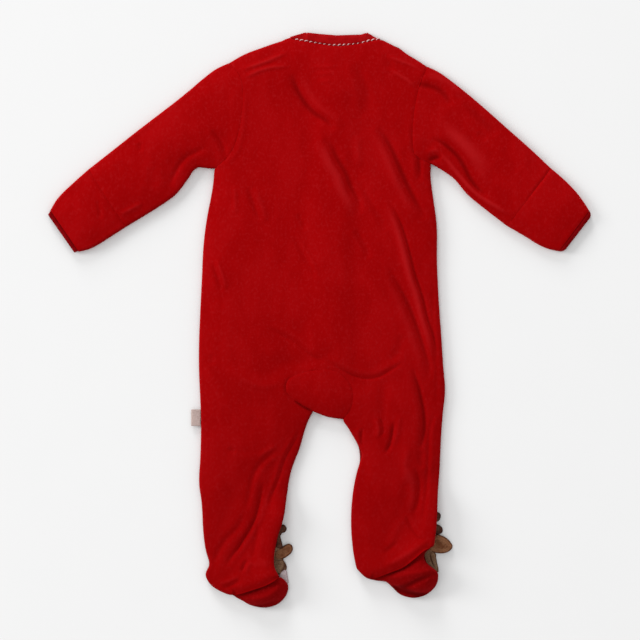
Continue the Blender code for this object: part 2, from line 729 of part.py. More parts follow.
grid_r, u_r, v_r = front_half(1, STRIP_HALF)
lap_r = np.concatenate(
    [strip(-LAP, LAP + LAP_CLEAR, v_r, 3), strip(LAP + LAP_CLEAR + LAP_SLOPE, STRIP_HALF, v_r, 2)], axis=1
)
leg_r = front_leg(1, grid_r, u_r, ANKLE_R)
sheet("front_right", [grid_r, lap_r, leg_r], lapped_low, lapped_top, cloth_red)


# Sleeves, turned cuffs and their ribbed edges ------------------------------------------------------
def arm(side_name, rows, hand, armhole):
    at = lengths(armhole) / lengths(armhole)[-1]
    steps = shares(ARM_LENGTH, CELL)
    sections = arm_sections(rows, armhole, at, steps)
    sections[0] = moved_aside(sections[0], -GAP if side_name == "left" else GAP)
    way = sections[-1] - sections[-2]
    sections[-1] = sections[-1] - GAP / 2 * way / np.linalg.norm(way, axis=1)[:, None]
    flat_tube(f"sleeve_{side_name}", sections, cloth_red)
    at_hand = np.linspace(0, 1, 8)
    straight = np.array(hand[0][:2]) + (np.array(hand[0][2:4]) - np.array(hand[0][:2])) * at_hand[:, None]
    trim = 1 - TRIM_WIDTH / HAND_LENGTH
    gap = GAP / 2 / HAND_LENGTH
    cuff = np.concatenate([[gap], np.linspace(0, trim, 6)[1:-1], [trim - gap]])
    flat_tube(f"cuff_{side_name}", arm_sections(hand, straight, at_hand, cuff), cloth_red)
    edge = [trim + gap, 1.0]
    flat_tube(f"cuff_trim_{side_name}", arm_sections(hand, straight, at_hand, edge), rib_red)


arm("left", SLEEVE_L, HAND_L, armhole_l)
arm("right", SLEEVE_R, HAND_R, armhole_r)


# Neck band and the piping in its seam --------------------------------------------------------------
def cut_at_x(line, offset):
    """The part of a front neck line, from its start, as far as the line `offset` from the middle."""
    ahead = line[:, 0] - middle_x(line[:, 1]) - offset
    ahead = ahead * np.sign(ahead[len(line) // 2] - ahead[0] + 1e-9)
    low = int(np.argmin(line[:, 1]))
    start = max(low - 40, 0)
    stop = start + int(np.argmax(ahead[start:] > 0))
    a, b = line[stop - 1], line[stop]
    t = -ahead[stop - 1] / (ahead[stop] - ahead[stop - 1])
    return np.vstack([line[:stop], a + (b - a) * t])


def neck_lines():
    """Seam side and free side of the band: left front, back, right front."""
    away = CORD_R + GAP + 0.1
    seam_front = moved_aside(neck_front_line, away)
    seam_back = moved_aside(neck_back_line, away)
    free_front = smooth(BAND_FRONT, np.linspace(0, 1, 160))
    free_back = smooth(BAND_BACK, np.linspace(0, 1, 60))
    return seam_front, seam_back, free_front, free_back


BAND_LENGTH = 78.0  # across the back
BAND_CELL = 6.5


def neck_band():
    seam_front, seam_back, free_front, free_back = neck_lines()
    rows = np.linspace(0, 1, 4)
    columns = []
    front_at = np.linspace(0, 1, 8)
    seam_l = along(cut_at_x(seam_front[3:], LAP), front_at)[::-1]
    free_l = along(cut_at_x(free_front, LAP), front_at)[::-1]
    for s, f in zip(seam_l, free_l):
        columns.append((s, f, "front"))
    columns += [(seam_back[3], free_back[0], "fold_l")]
    back_at = shares(BAND_LENGTH, BAND_CELL, (1.5,), (1.5,))
    for s, f in zip(along(seam_back[3:-3], back_at), along(free_back, back_at)):
        columns.append((s, f, "back"))
    columns += [(seam_back[-4], free_back[-1], "fold_r")]
    seam_r = along(cut_at_x(seam_front[:-3][::-1], -LAP), front_at)
    free_r = along(cut_at_x(free_front[::-1], -LAP), front_at)
    for s, f in zip(seam_r, free_r):
        columns.append((s, f, "lapped"))
    outer, inner = [], []
    for s, f, kind in columns:
        plan = s + (f - s) * rows[:, None]
        x, y = plan.T
        if kind in ("front", "lapped"):
            low = floor_low(x, y) if kind == "front" else lapped_low(x, y)
            outer.append(np.column_stack([plan, low]))
            inner.append(np.column_stack([plan, low + WALL]))
        elif kind == "back":
            outer.append(np.column_stack([plan, top(x, y)]))
            inner.append(np.column_stack([plan, top(x, y) - WALL]))
        else:
            way = f - s
            normal = np.array((-way[1], way[0])) / np.linalg.norm(way)
            normal = normal if kind == "fold_l" else -normal
            turns = (180, 135, 90, 45) if kind == "fold_l" else (45, 90, 135, 180)
            for turn in turns:
                up, out = math.cos(math.radians(turn)), math.sin(math.radians(turn))
                shift = np.tile(normal * out, (len(rows), 1))
                outer.append(np.column_stack([plan + FOLD_R * shift, np.full(4, FOLD_R * (1 + up))]))
                inner.append(np.column_stack([plan + GAP / 2 * shift, np.full(4, FOLD_R + GAP / 2 * up)]))
    return strip_wall("neck_band", np.array(outer), np.array(inner), rib_red)


def strip_wall(name, outer, inner, look):
    """A closed wall between two skins given as matching grids."""
    columns, rows = outer.shape[:2]
    points = np.vstack([outer.reshape(-1, 3), inner.reshape(-1, 3)])
    shift = columns * rows
    faces = []
    for c in range(columns - 1):
        for r in range(rows - 1):
            a, b, d, e = c * rows + r, (c + 1) * rows + r, (c + 1) * rows + r + 1, c * rows + r + 1
            faces.append([a, b, d, e])
            faces.append([shift + e, shift + d, shift + b, shift + a])
    rim_of = []
    rim_of += [c * rows for c in range(columns)]
    rim_of += [(columns - 1) * rows + r for r in range(1, rows)]
    rim_of += [c * rows + rows - 1 for c in range(columns - 2, -1, -1)]
    rim_of += [r for r in range(rows - 2, 0, -1)]
    for n, a in enumerate(rim_of):
        b = rim_of[(n + 1) % len(rim_of)]
        faces.append([b, a, a + shift, b + shift])
    return solid(name, points, outward(points, faces), look)


neck_band()


def swept(name, path, radius, sides, look, radii=None, flat=1.0):
    """A round cord along a line in space, with flat ends."""
    path = np.array(path, float)
    way = np.gradient(path, axis=0)
    way /= np.linalg.norm(way, axis=1)[:, None]
    side = np.cross(way[0], (0.0, 0.0, 1.0))
    side /= np.linalg.norm(side)
    points = []
    for n, (p, w) in enumerate(zip(path, way)):
        side = side - w * (side @ w)
        side /= np.linalg.norm(side)
        other = np.cross(w, side)
        size = radius if radii is None else radii[n]
        for k in range(sides):
            turn = 2 * math.pi * (k + 0.5) / sides
            points.append(p + size * (math.cos(turn) * side + math.sin(turn) * other) * (1, 1, flat))
    faces = []
    for n in range(len(path) - 1):
        for k in range(sides):
            j = (k + 1) % sides
            faces.append([n * sides + k, n * sides + j, (n + 1) * sides + j, (n + 1) * sides + k])
    faces.append(list(range(sides))[::-1])
    faces.append([(len(path) - 1) * sides + k for k in range(sides)])
    points = np.array(points)
    return solid(name, points, outward(points, faces), look)


def neck_piping():
    front_l = cut_at_x(neck_front_line, LAP)
    front_r = cut_at_x(neck_front_line[::-1], -LAP)
    at = np.linspace(0, 1, 16)
    low_l = along(front_l, at)[::-1]
    low_r = along(front_r, at)
    back = along(neck_back_line, np.linspace(0, 1, 24))
    path = [(x, y, CORD_R + float(floor_low(x, y))) for x, y in low_l]
    path += turn_up(back[0], back[1], path[-1][2], (135, 90, 45))
    path += [(x, y, float(top(x, y)) - CORD_R) for x, y in back]
    path += turn_up(back[-1], back[-2], CORD_R, (45, 90, 135))
    path += [(x, y, CORD_R + float(lapped_low(x, y))) for x, y in low_r]
    return swept("neck_piping", path, CORD_R, CORD_SIDES, piping_stripe)


def turn_up(end, before, low, turns):
    """The cord's turn from one layer to the other at the side of the neck."""
    out = (np.array(end) - np.array(before)) / np.linalg.norm(np.array(end) - np.array(before))
    high = float(top(*end)) - CORD_R
    radius = (high - low) / 2
    made = []
    for turn in turns:
        up, away = math.cos(math.radians(turn)), math.sin(math.radians(turn))
        x, y = np.array(end) + out * radius * away
        made.append((x, y, (high + low) / 2 + radius * up))
    return made


neck_piping()


# Feet: the upper lies on the surface, the sole is turned up under the leg's hem --------------------
def foot_upper(name, ankle, outer_line, inner_line, toe_line):
    """Plan of a foot's upper, from the ankle down to the toe."""
    outer = cut_between(smooth(outer_line, np.linspace(0, 1, 500)), ankle[0], outer_line[-1])
    inner = cut_between(smooth(inner_line, np.linspace(0, 1, 500)), ankle[1], inner_line[-1])
    v = np.linspace(0, 1, 6)
    u = np.linspace(0, 1, 11)
    over = np.array(ankle[0]) + (np.array(ankle[1]) - np.array(ankle[0])) * u[:, None]
    grid = patch(over, smooth(toe_line, u), along(outer, v), along(inner, v), u, v)
    return sheet(name, [grid], floor_low, floor_top, cloth_red)


foot_upper("foot_left", ANKLE_L, LEG_OUT_L, INSEAM_L, TOE_L)
foot_upper("foot_right", ANKLE_R, LEG_OUT_R, INSEAM_R, TOE_R[::-1])


CROWN_NEAR_HEM = 12.0  # the sole's crown is full this far from the hem's tuck and from its toe
CROWN_NEAR_TOE = 9.0


def sole(name, hem, toe, side):
    """A sole, turned up over the foot, from under the leg's hem to the toe."""
    u = np.concatenate([[0.02], np.linspace(0.07, 0.93, 11), [0.98]])
    v = np.array([0.0, 0.1, 0.22, 0.38, 0.56, 0.74, 0.88, 0.96, 1.0])
    near = smooth(hem, u)
    tuck = TUCK * np.clip(np.sin(math.pi * u) * 2.4 - 0.5, 0, 1)
    near = near + tuck[:, None] * (moved_aside(near, side) - near)
    far = smooth(toe, u)
    grid = near[None] + (far - near)[None] * v[:, None, None]
    grid[0] += (1 - np.clip(tuck / TUCK * 8, 0, 1))[:, None] * GAP * (far - near) / 20.0

    def crown(x, y):
        d, _ = to_line(x, y, near)
        edge, _ = to_line(x, y, even(toe))
        rise = np.clip((d - TUCK) / CROWN_NEAR_HEM, 0, 1) * np.clip(edge / CROWN_NEAR_TOE, 0, 1)
        return top(x, y) + SOLE_CROWN * np.sin(rise * math.pi / 2)

    return sheet(name, [grid], lambda x, y: crown(x, y) - WALL, crown, cloth_red)


sole("sole_left", HEM_L, TOE_L, 1.0)
sole("sole_right", HEM_R, TOE_R, 1.0)


# Side label: a bare tape folded in half in the left side seam --------------------------------------
def side_label():
    x_in, x_out, y_low, y_high = -119.5, -129.0, -106.0, -89.5
    outer = [(x_in, 3.2), (x_out + 1.2, 3.2), (x_out + 0.3, 2.8), (x_out, 2.0), (x_out + 0.3, 1.2)]
    outer += [(x_out + 1.2, 0.8), (x_in, 0.8)]
    inner = [(x_in, 2.2), (x_out + 1.5, 2.2), (x_out + 1.25, 2.15), (x_out + 1.1, 2.0)]
    inner += [(x_out + 1.25, 1.85), (x_out + 1.5, 1.8), (x_in, 1.8)]
    ends = (y_low, y_high)
    out = np.array([[(x, y, z) for y in ends] for x, z in outer])
    inn = np.array([[(x, y, z) for y in ends] for x, z in inner])
    return strip_wall("side_label", out, inn, label_tape)


side_label()


# Reindeer plush, at the edge of each foot's upper ---------------------------------------------------
def inside_garment(x, y):
    """Whether points lie within the outline."""
    a, b = OUTLINE, np.roll(OUTLINE, -1, axis=0)
    within = np.zeros(np.shape(x), bool)
    for (x0, y0), (x1, y1) in zip(a, b):
        if y0 != y1:
            crosses = (y0 > y) != (y1 > y)
            within ^= crosses & (x < (x1 - x0) * (y - y0) / (y1 - y0) + x0)
    return within


def plush(name, x, y, half_length, half_width, turn, z_low, z_high, colour):
    """A stuffed oval piece, pressed flat where cloth lies on it."""
    turn = math.radians(turn)
    middle = (z_low + z_high) / 2
    points, faces = [], []
    rings, ring = 8, 16
    for r in range(1, rings):
        lat = math.pi * (r / rings - 0.5)
        for k in range(ring):
            lon = 2 * math.pi * k / ring
            a, b = half_length * math.cos(lat) * math.cos(lon), half_width * math.cos(lat) * math.sin(lon)
            px, py = x + a * math.cos(turn) - b * math.sin(turn), y + a * math.sin(turn) + b * math.cos(turn)
            points.append((px, py, middle + (z_high - z_low) / 2 * math.sin(lat)))
    points.append((x, y, z_low))
    points.append((x, y, z_high))
    for r in range(rings - 2):
        for k in range(ring):
            j = (k + 1) % ring
            faces.append([r * ring + k, r * ring + j, (r + 1) * ring + j, (r + 1) * ring + k])
    low, high = len(points) - 2, len(points) - 1
    for k in range(ring):
        j = (k + 1) % ring
        faces.append([low, j, k])
        faces.append([high, (rings - 2) * ring + k, (rings - 2) * ring + j])
    points = np.array(points)
    room = np.maximum(floor_low(points[:, 0], points[:, 1]) - GAP, 0.6)
    share = np.where(inside_garment(points[:, 0], points[:, 1]), np.minimum(room / z_high, 1), 1)
    points[:, 2] *= share
    return solid(name, points, outward(points, faces), PLUSH_MATERIALS[colour])


for piece in PLUSH:
    plush(*piece)


def antler(name, path, radii, flat):
    return swept(name, path, 3.0, 10, PLUSH_MATERIALS[ANTLER], radii=radii, flat=flat)


antler(
    "antler_left",
    [(-37.9, -204.4, 3.9), (-37.9, -205.4, 3.9), (-38.2, -209, 3.9), (-38.4, -213, 3.9), (-39.2, -217, 3.9),
     (-39.8, -222, 3.9), (-40.0, -227, 3.9), (-40.2, -229.8, 3.8)],
    [1.4, 3.2, 4.3, 3.0, 2.2, 2.6, 3.0, 2.2],
    0.85,
)
antler(
    "antler_right",
    [(118.6, -192.6, 3.9), (118.4, -193.8, 3.9), (118.0, -197, 3.9), (118.2, -200.6, 3.9), (118.9, -204, 3.9),
     (119.6, -207.6, 3.9), (118.4, -212, 3.9), (117.4, -214.8, 3.9)],
    [1.6, 3.2, 3.7, 2.4, 2.6, 3.4, 2.9, 2.0],
    0.97,
)
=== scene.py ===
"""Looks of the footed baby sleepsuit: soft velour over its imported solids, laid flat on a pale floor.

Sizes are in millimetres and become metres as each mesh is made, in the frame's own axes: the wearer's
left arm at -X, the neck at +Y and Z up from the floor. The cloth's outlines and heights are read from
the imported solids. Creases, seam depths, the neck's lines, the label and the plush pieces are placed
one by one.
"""

import math

import bpy
import numpy as np
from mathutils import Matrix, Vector
from mathutils.bvhtree import BVHTree
from mathutils.geometry import delaunay_2d_cdt
from mathutils.kdtree import KDTree


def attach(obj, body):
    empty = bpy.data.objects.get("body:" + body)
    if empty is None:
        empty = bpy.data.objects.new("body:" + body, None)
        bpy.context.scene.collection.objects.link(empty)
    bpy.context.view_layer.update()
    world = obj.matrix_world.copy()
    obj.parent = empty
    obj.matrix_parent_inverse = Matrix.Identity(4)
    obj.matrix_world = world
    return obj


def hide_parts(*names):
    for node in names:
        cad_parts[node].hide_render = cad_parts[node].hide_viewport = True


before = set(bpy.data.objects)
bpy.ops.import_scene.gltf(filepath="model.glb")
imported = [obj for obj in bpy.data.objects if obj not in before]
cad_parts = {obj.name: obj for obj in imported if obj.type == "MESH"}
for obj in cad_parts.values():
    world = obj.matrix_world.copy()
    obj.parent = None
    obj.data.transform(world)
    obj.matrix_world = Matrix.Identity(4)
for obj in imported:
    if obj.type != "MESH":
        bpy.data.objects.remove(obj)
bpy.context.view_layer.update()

# Cloth
LAYER_MEET = 0.15  # the two layers meet this far into the gap between them at an outline
SEAM_OPEN = 0.3  # each piece reaches this far over the gap at a seam
ROLL = 2.6  # radius of the turned edge at an outline
SEAM_ROLL = 1.4  # half width of the groove along a seam
EDGE_ROLL = 1.0  # rounding of a free edge
CORNER = 35.0  # a turn sharper than this, in degrees, stays a corner
CREASE_FADE = 8.0  # a crease dies away over this distance from an edge
CREASE_AT_SEAM = 0.35  # share of it that is left at a seam
LEAST_TOP = 3.9  # away from its edges the upper layer is nowhere lower than this
RING_STEP = 1.7  # longest step along a panel's outline


# Reading the frame's solids ------------------------------------------------------------------------
MM = 0.001
TINY = 1e-9  # keeps a division from failing
WELD = 0.01  # points of a solid closer than this are one
FAR = 60.0  # rays at the solids start this far above or below the floor
LEAST_SLOPE = 0.05  # a face that leans more than this is one of a solid's sides
SHORT_STEP = 0.35  # a rim's points closer than this are one
RIM_WELD = 1e-4  # the same for its upper face, seen from above
SOLIDS = {}


def numbers_of(items, name, width=1, kind=float):
    """One property of all of a mesh's items, in rows of a width."""
    numbers = np.empty(len(items) * width, kind)
    items.foreach_get(name, numbers)
    return numbers.reshape(-1, width)


def solid_of(node):
    """A node's points in millimetres, its triangles and a tree for casting rays at it."""
    if node not in SOLIDS:
        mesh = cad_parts[node].data
        points = numbers_of(mesh.vertices, "co", 3) / MM
        corners = numbers_of(mesh.loops, "vertex_index", 1, np.int64)[:, 0]
        keys = np.round(points / WELD).astype(np.int64)
        _, first, index = np.unique(keys, axis=0, return_index=True, return_inverse=True)
        faces = index.reshape(-1)[corners].reshape(-1, 3)
        points = points[first]
        tree = BVHTree.FromPolygons(points.tolist(), faces.tolist())
        SOLIDS[node] = (points, faces, tree)
    return SOLIDS[node]


def face_height(node, plan, above=True):
    """Height of a node's highest, or lowest, face at plan points: NaN where there is none."""
    tree = solid_of(node)[2]
    start, way = (FAR, Vector((0, 0, -1))) if above else (-FAR, Vector((0, 0, 1)))
    found = np.full(len(plan), np.nan)
    for k, (x, y) in enumerate(plan):
        hit = tree.ray_cast((x, y, start), way)[0]
        if hit is not None:
            found[k] = hit.z
    return found


def filled(plan, values):
    """The values with each gap filled from the nearest known one."""
    known = np.flatnonzero(~np.isnan(values))
    tree = tree_of(plan[known])
    values = values.copy()
    for k in np.flatnonzero(np.isnan(values)):
        values[k] = values[known[tree.find((*plan[k], 0))[1]]]
    return values


def tree_of(plan):
    tree = KDTree(len(plan))
    for k, (x, y) in enumerate(plan):
        tree.insert((x, y, 0), k)
    tree.balance()
    return tree


def nearest(tree, plan):
    """Distance to the nearest point of a tree, and its number, for each plan point."""
    found = [tree.find((x, y, 0)) for x, y in plan]
    return np.array([f[2] for f in found]), np.array([f[1] for f in found])


def border(faces):
    """Numbers of the points on the longest border of some faces, once round."""
    edges = {(f[n - 1], f[n]) for f in faces for n in range(len(f))}
    onward = {}
    for a, b in edges:
        if (b, a) not in edges:
            onward.setdefault(a, []).append(b)
    rims = []
    while onward:
        start = next(iter(onward))
        rim, at = [start], onward[start].pop()
        while at != start and onward.get(at):
            rim.append(at)
            at = onward[at].pop()
        rims.append(rim)
        onward = {a: b for a, b in onward.items() if b}
    return max(rims, key=len)


def rim_of(node, over=-FAR):
    """Border of a solid's upper face, once round with the cloth on the left: points x, y, z."""
    points, faces, _ = solid_of(node)
    a, b, c = (points[faces[:, k]] for k in range(3))
    normal = np.cross(b - a, c - a)
    slope = normal[:, 2] / np.maximum(np.linalg.norm(normal, axis=1), TINY)
    faces = faces[(slope > LEAST_SLOPE) & ((a + b + c)[:, 2] / 3 > over)]
    used, faces = np.unique(faces, return_inverse=True)
    upper = points[used]
    made = delaunay_2d_cdt(
        [Vector(p[:2]) for p in upper.tolist()], [], faces.reshape(-1, 3).tolist(), 1, RIM_WELD
    )
    plan = np.array([made[0][k] for k in border(made[2])])
    steps = np.linalg.norm(plan - np.roll(plan, 1, axis=0), axis=1)
    plan = plan[steps > SHORT_STEP]
    near = np.linalg.norm(plan[:, None] - upper[None, :, :2], axis=2)
    height = np.where(near < near.min(axis=1)[:, None] + WELD, upper[:, 2], -FAR).max(axis=1)
    return np.column_stack([plan, height])


# Lines ---------------------------------------------------------------------------------------------
CURVE_STEPS = 12
SLIVER = 0.8  # a part of a ring narrower than this is left out
DRAWN_SLIVER = 1.5  # the same for a ring that has been drawn in
NEIGHBOURS = 2  # points this many steps apart along a ring may be close together


def lengths(line):
    steps = np.linalg.norm(np.diff(line, axis=0), axis=1)
    return np.concatenate([[0.0], np.cumsum(steps)])


def along(line, at):
    """Points at distances along a line of straight steps."""
    run = lengths(line)
    return np.column_stack([np.interp(at, run, line[:, k]) for k in range(line.shape[1])])


def curve(points, steps=CURVE_STEPS):
    """A smooth line through a few points, however unevenly they lie."""
    p = np.array(points, float)
    if len(p) < 3:
        return p
    size = np.linalg.norm(np.diff(p, axis=0), axis=1)[:, None]
    way = np.diff(p, axis=0) / size
    lean = (way[:-1] * size[1:] + way[1:] * size[:-1]) / (size[:-1] + size[1:])
    lean = np.vstack([1.5 * way[:1] - 0.5 * lean[:1], lean, 1.5 * way[-1:] - 0.5 * lean[-1:]])
    t = np.linspace(0, 1, steps, endpoint=False)[:, None]
    runs = []
    for a, b, m, n, h in zip(p[:-1], p[1:], lean[:-1], lean[1:], size):
        ends = (2 * t**3 - 3 * t**2 + 1) * a + (3 * t**2 - 2 * t**3) * b
        runs.append(ends + h * ((t**3 - 2 * t**2 + t) * m + (t**3 - t**2) * n))
    return np.vstack(runs + [p[-1:]])


def even(line, step):
    size = lengths(line)[-1]
    return along(line, np.linspace(0, size, max(2, round(size / step) + 1)))


def smooth_ring(points, step):
    """A smooth closed line through points, in even steps."""
    line = curve(np.vstack([points[-2:], points, points[:3]]))
    return even(line[2 * CURVE_STEPS:-2 * CURVE_STEPS], step)[:-1]


def smooth_rim(rim, step, corner=CORNER):
    """A rim through its solid's points with its sharp corners kept, in even steps."""
    before, after = rim - np.roll(rim, 1, axis=0), np.roll(rim, -1, axis=0) - rim
    across = before[:, 0] * after[:, 1] - before[:, 1] * after[:, 0]
    turn = np.degrees(np.arctan2(across, (before[:, :2] * after[:, :2]).sum(axis=1)))
    corners = np.flatnonzero(np.abs(turn) > corner)
    if len(corners) == 0:
        return smooth_ring(rim, step)
    runs = []
    for n, a in enumerate(corners):
        b = corners[(n + 1) % len(corners)]
        count = (b - a) % len(rim) or len(rim)
        run = rim[(a + np.arange(count + 1)) % len(rim)]
        runs.append(even(curve(run), step)[:-1])
    return without_spikes(np.vstack(runs))


def without_spikes(ring, narrow=SLIVER):
    """A ring without its points where it runs out along a sliver and back."""
    count = len(ring)
    apart = np.linalg.norm(ring[:, None, :2] - ring[None, :, :2], axis=2)
    steps = np.abs(np.arange(count)[:, None] - np.arange(count)[None])
    steps = np.minimum(steps, count - steps)
    return ring[~((apart < narrow) & (steps > NEIGHBOURS)).any(axis=1)]


def outward(ring):
    """Unit vectors pointing away from the cloth at each point of a ring."""
    way = np.roll(ring, -1, axis=0)[:, :2] - np.roll(ring, 1, axis=0)[:, :2]
    out = np.column_stack([way[:, 1], -way[:, 0]])
    return out / np.maximum(np.linalg.norm(out, axis=1), TINY)[:, None]


def to_line(plan, line):
    """Distance from plan points to a line, and the share of the line at the nearest point."""
    best = np.full(len(plan), np.inf)
    share = np.zeros(len(plan))
    run = lengths(line)
    for k in range(len(line) - 1):
        way = line[k + 1] - line[k]
        t = np.clip((plan - line[k]) @ way / max(way @ way, TINY), 0, 1)
        d = np.linalg.norm(plan - line[k] - t[:, None] * way, axis=1)
        nearer = d < best
        best[nearer] = d[nearer]
        share[nearer] = (run[k] + t[nearer] * (run[k + 1] - run[k])) / run[-1]
    return best, share


# Creases -------------------------------------------------------------------------------------------
# Each is a line, with the height and half width of a trough along it (a height above zero makes it a
# ridge). Many have a second swell beside it: its height, its half width and its way to the side.
# The same heights also paint shade into the velour's troughs and highlights onto its ridges.
CREASE_STEP = 4.0
CREASE_ENDS = 4  # the higher this is, the less of a crease's length its ends take up
BACK_CREASES = [
    # Across the shoulders and down the back
    ([(-28, 245), (-17, 220), (-5, 206), (8, 197), (14, 188)], -1.9, 3.2, 0.8, 5, (8, 3)),
    ([(3, 180), (11, 173), (17, 160), (26, 145), (30, 133), (37, 120), (41, 106)],
     -1.8, 3.8, 1.2, 7, (-9, -2)),
    ([(58, 192), (70, 173), (80, 150), (90, 128), (97, 115), (106, 100)], -1.9, 3.6, 0.9, 6, (-9, 0)),
    ([(95, 196), (96, 175), (99, 155), (100, 138)], -1.7, 2.4, 0.6, 3, (-6, 0)),
    ([(36, 256), (44, 234), (48, 202)], -0.9, 5.5, 0.4, 4, (-10, 0)),
    ([(39, 138), (56, 108), (68, 90)], -0.8, 3.2, 0.4, 4, (-7, -2)),
    ([(37, 184), (38, 152)], 0.7, 4),
    # The long folds down the right side
    ([(67, 122), (75, 108), (80, 97), (87, 75), (95, 44), (102, 23), (107, 2), (114, -20), (118, -41)],
     -1.8, 1.8, 1.3, 4, (-5.5, -1)),
    ([(69, 51), (78, 35), (88, 15), (97, -8), (104, -30), (109, -50), (110, -60)],
     -1.6, 3.0, 0.8, 5, (-8, -2)),
    ([(35, 90), (43, 77), (50, 62)], -0.9, 3, 0.5, 4, (-6, 0)),
    # Above the seat
    ([(6, -40), (23, -50), (40, -57), (56, -57), (70, -50), (82, -43)], -1.3, 1.4, 0.6, 4, (0, 5)),
    ([(81, -15), (78, -30), (70, -42)], -0.8, 5),
    ([(-51, -8), (-38, -15), (-25, -22), (-12, -33), (4, -41)], -0.8, 1.6, 0.5, 3, (3, 4)),
    ([(-60, -41), (-30, -42), (19, -34)], -0.6, 7),
    ([(-92, -48), (-61, -65), (-38, -62)], 0.6, 4, -0.4, 6, (2, 12)),
    ([(-108, -34), (-108, -45)], -0.7, 3),
    # Short ones on the left side
    ([(-22, 106), (-14, 90)], -0.7, 2.6),
    ([(-23, 84), (-12, 66), (0, 43)], 0.6, 1.8, -0.7, 2.4, (-4, -2)),
    ([(-72, 132), (-66, 115), (-60, 98)], -1.0, 2.4, 0.8, 3, (7, 0)),
    ([(-86, 134), (-84, 106)], 0.7, 2.6),
    ([(-108, 57), (-103, 43), (-98, 28)], -1.1, 2.2, 0.9, 2.2, (5, 3)),
    # Streaks at the shoulder seams and small wrinkles below the neck
    ([(-78, 250), (-69, 253), (-54, 258), (-40, 264), (-32, 267)], 1.2, 1.9),
    ([(-76, 242), (-69, 245), (-57, 250), (-38, 253), (-30, 253)], 1.1, 1.9),
    ([(66, 264), (76, 260), (88, 256), (101, 250)], 1.1, 2.0),
    ([(66, 251), (76, 246), (86, 240), (96, 232)], 1.1, 2.2),
    ([(66, 266), (69, 255), (72, 244)], -0.7, 4.5),
    ([(-8, 253), (4, 252), (16, 254)], 0.4, 1.6),
    ([(-4, 245), (14, 246)], 0.4, 1.6),
    ([(-2, 237), (11, 238)], 0.4, 1.6),
    ([(-101, 153), (-84, 166), (-78, 186), (-75, 208), (-75, 234)], 0.6, 2.3),
    # Below the left armpit and round the seat's left end
    ([(-106, 148), (-108, 130), (-111, 105)], -1.2, 3.0),
    ([(-26, -80), (-18, -86), (-6, -91)], -1.8, 2.0),
]
LEG_CREASES = [
    # Left leg, from the knee down to the heel
    ([(-56, -162), (-58.5, -172), (-60, -180), (-62, -189), (-65, -199), (-70, -209), (-75.5, -218),
      (-81, -227), (-88, -236), (-93, -246)], -1.5, 1.6, 0.7, 3, (5, -1)),
    ([(-42, -130), (-57, -141), (-64, -150), (-68, -160), (-70, -170), (-72, -180), (-75, -192)],
     -0.9, 2.8, 0.5, 3, (5, -2)),
    ([(-75, -190), (-83, -208), (-90, -215), (-97, -223), (-103, -234), (-109, -248)],
     -1.0, 3.2, 0.5, 4, (7, -3)),
    ([(-19, -108), (-26, -122), (-32, -132), (-36, -141), (-42, -160), (-46, -170), (-49, -180),
      (-50, -190)], -1.0, 1.5, 0.5, 2, (-4, 0)),
    ([(-62, -203), (-63, -215), (-65, -225), (-67, -238)], -0.9, 2.4, 0.5, 3, (6, 0)),
    ([(-72, -239), (-76, -245), (-78, -252)], -1.5, 1.5, 0.8, 2.5, (4, -1)),
    ([(-68, -244), (-58, -242), (-50, -244)], 0.8, 5),
    ([(-79, -259), (-86, -263), (-92, -266), (-99, -267)], -1.1, 1.7, 0.8, 2.6, (-1, 5)),
    ([(-62, -137), (-53, -131), (-44, -126)], 0.8, 2.8),
    ([(-91, -128), (-84, -132)], -0.8, 2.4),
    ([(-84, -131), (-62, -131)], -0.4, 4),
    # Right leg
    ([(93, -48), (96, -60), (99, -70), (101, -80), (103, -90), (104, -100), (104, -111), (102, -121),
      (99, -131)], -1.9, 2.3, 0.5, 4, (-7, 0)),
    ([(101, -130), (100, -140), (103, -148)], -0.9, 4),
    ([(94, -147), (98, -158), (99, -170), (98, -180), (94, -194)], -1.2, 2.0, 0.9, 4, (-7, 0)),
    ([(86, -196), (90, -205), (94, -212), (98, -217), (105, -218)], -1.2, 1.7, 0.6, 3, (2, 5)),
    ([(88, -126), (85, -146), (86, -165)], 0.8, 4),
    ([(81, -198), (74, -214), (68, -228)], 0.6, 4),
    ([(74, -102), (72.5, -110), (71, -120), (65, -134)], -1.8, 2.0, 0.7, 3, (6, 8)),
    ([(64, -60), (62, -88), (62, -106)], -0.8, 5),
    ([(60, -98), (63, -110), (61, -117)], -1.1, 1.6, 0.9, 2.6, (-5, -1)),
    ([(42, -108), (41, -118), (41.5, -128)], -1.6, 1.6, 0.6, 3, (-5, 0)),
    ([(78, -221), (70, -228), (63, -233)], -0.9, 2.6),
    ([(64, -244), (72, -241), (80, -236), (92, -229), (103, -221)], 0.9, 3.4),
    ([(112, 80), (114, 40), (113, 0), (117, -60), (117, -91)], -0.5, 1.8, 0.4, 3, (4, 0)),
    ([(117, -91), (111, -104), (108, -140), (106, -172), (102, -203)], -0.8, 1.6, 0.5, 3, (4, 0)),
    # The hems of the legs, over the soles; near the hem their relief fades, so there they are mostly
    # painted shade
    ([(-39, -255), (-50, -260.5), (-58, -265.5), (-68, -270), (-76, -272.5), (-88, -275)], -1.5, 3.6),
    ([(36, -256), (45, -256), (60, -255), (70, -251.5), (80, -247), (90, -243), (100, -235),
      (114, -224)], -1.5, 3.2),
]
SOLE_CREASES = [
    ([(-38, -262), (-50, -273), (-60, -277), (-76, -279)], 1.2, 3.6),
    ([(-40, -279), (-50, -282.5), (-60, -285.5), (-76, -287)], -1.4, 2.4),
    ([(66, -258), (80, -254), (90, -251.5), (100, -250), (116, -246)], 1.2, 3.4),
    ([(68, -267), (80, -267), (90, -263), (100, -257.5), (116, -252)], -2.0, 3.0),
    ([(92, -267), (102, -266), (114, -266)], 0.8, 3.6),
    ([(70, -268), (82, -270), (92, -272.5), (100, -274), (110, -275)], -2.8, 3.0),
]
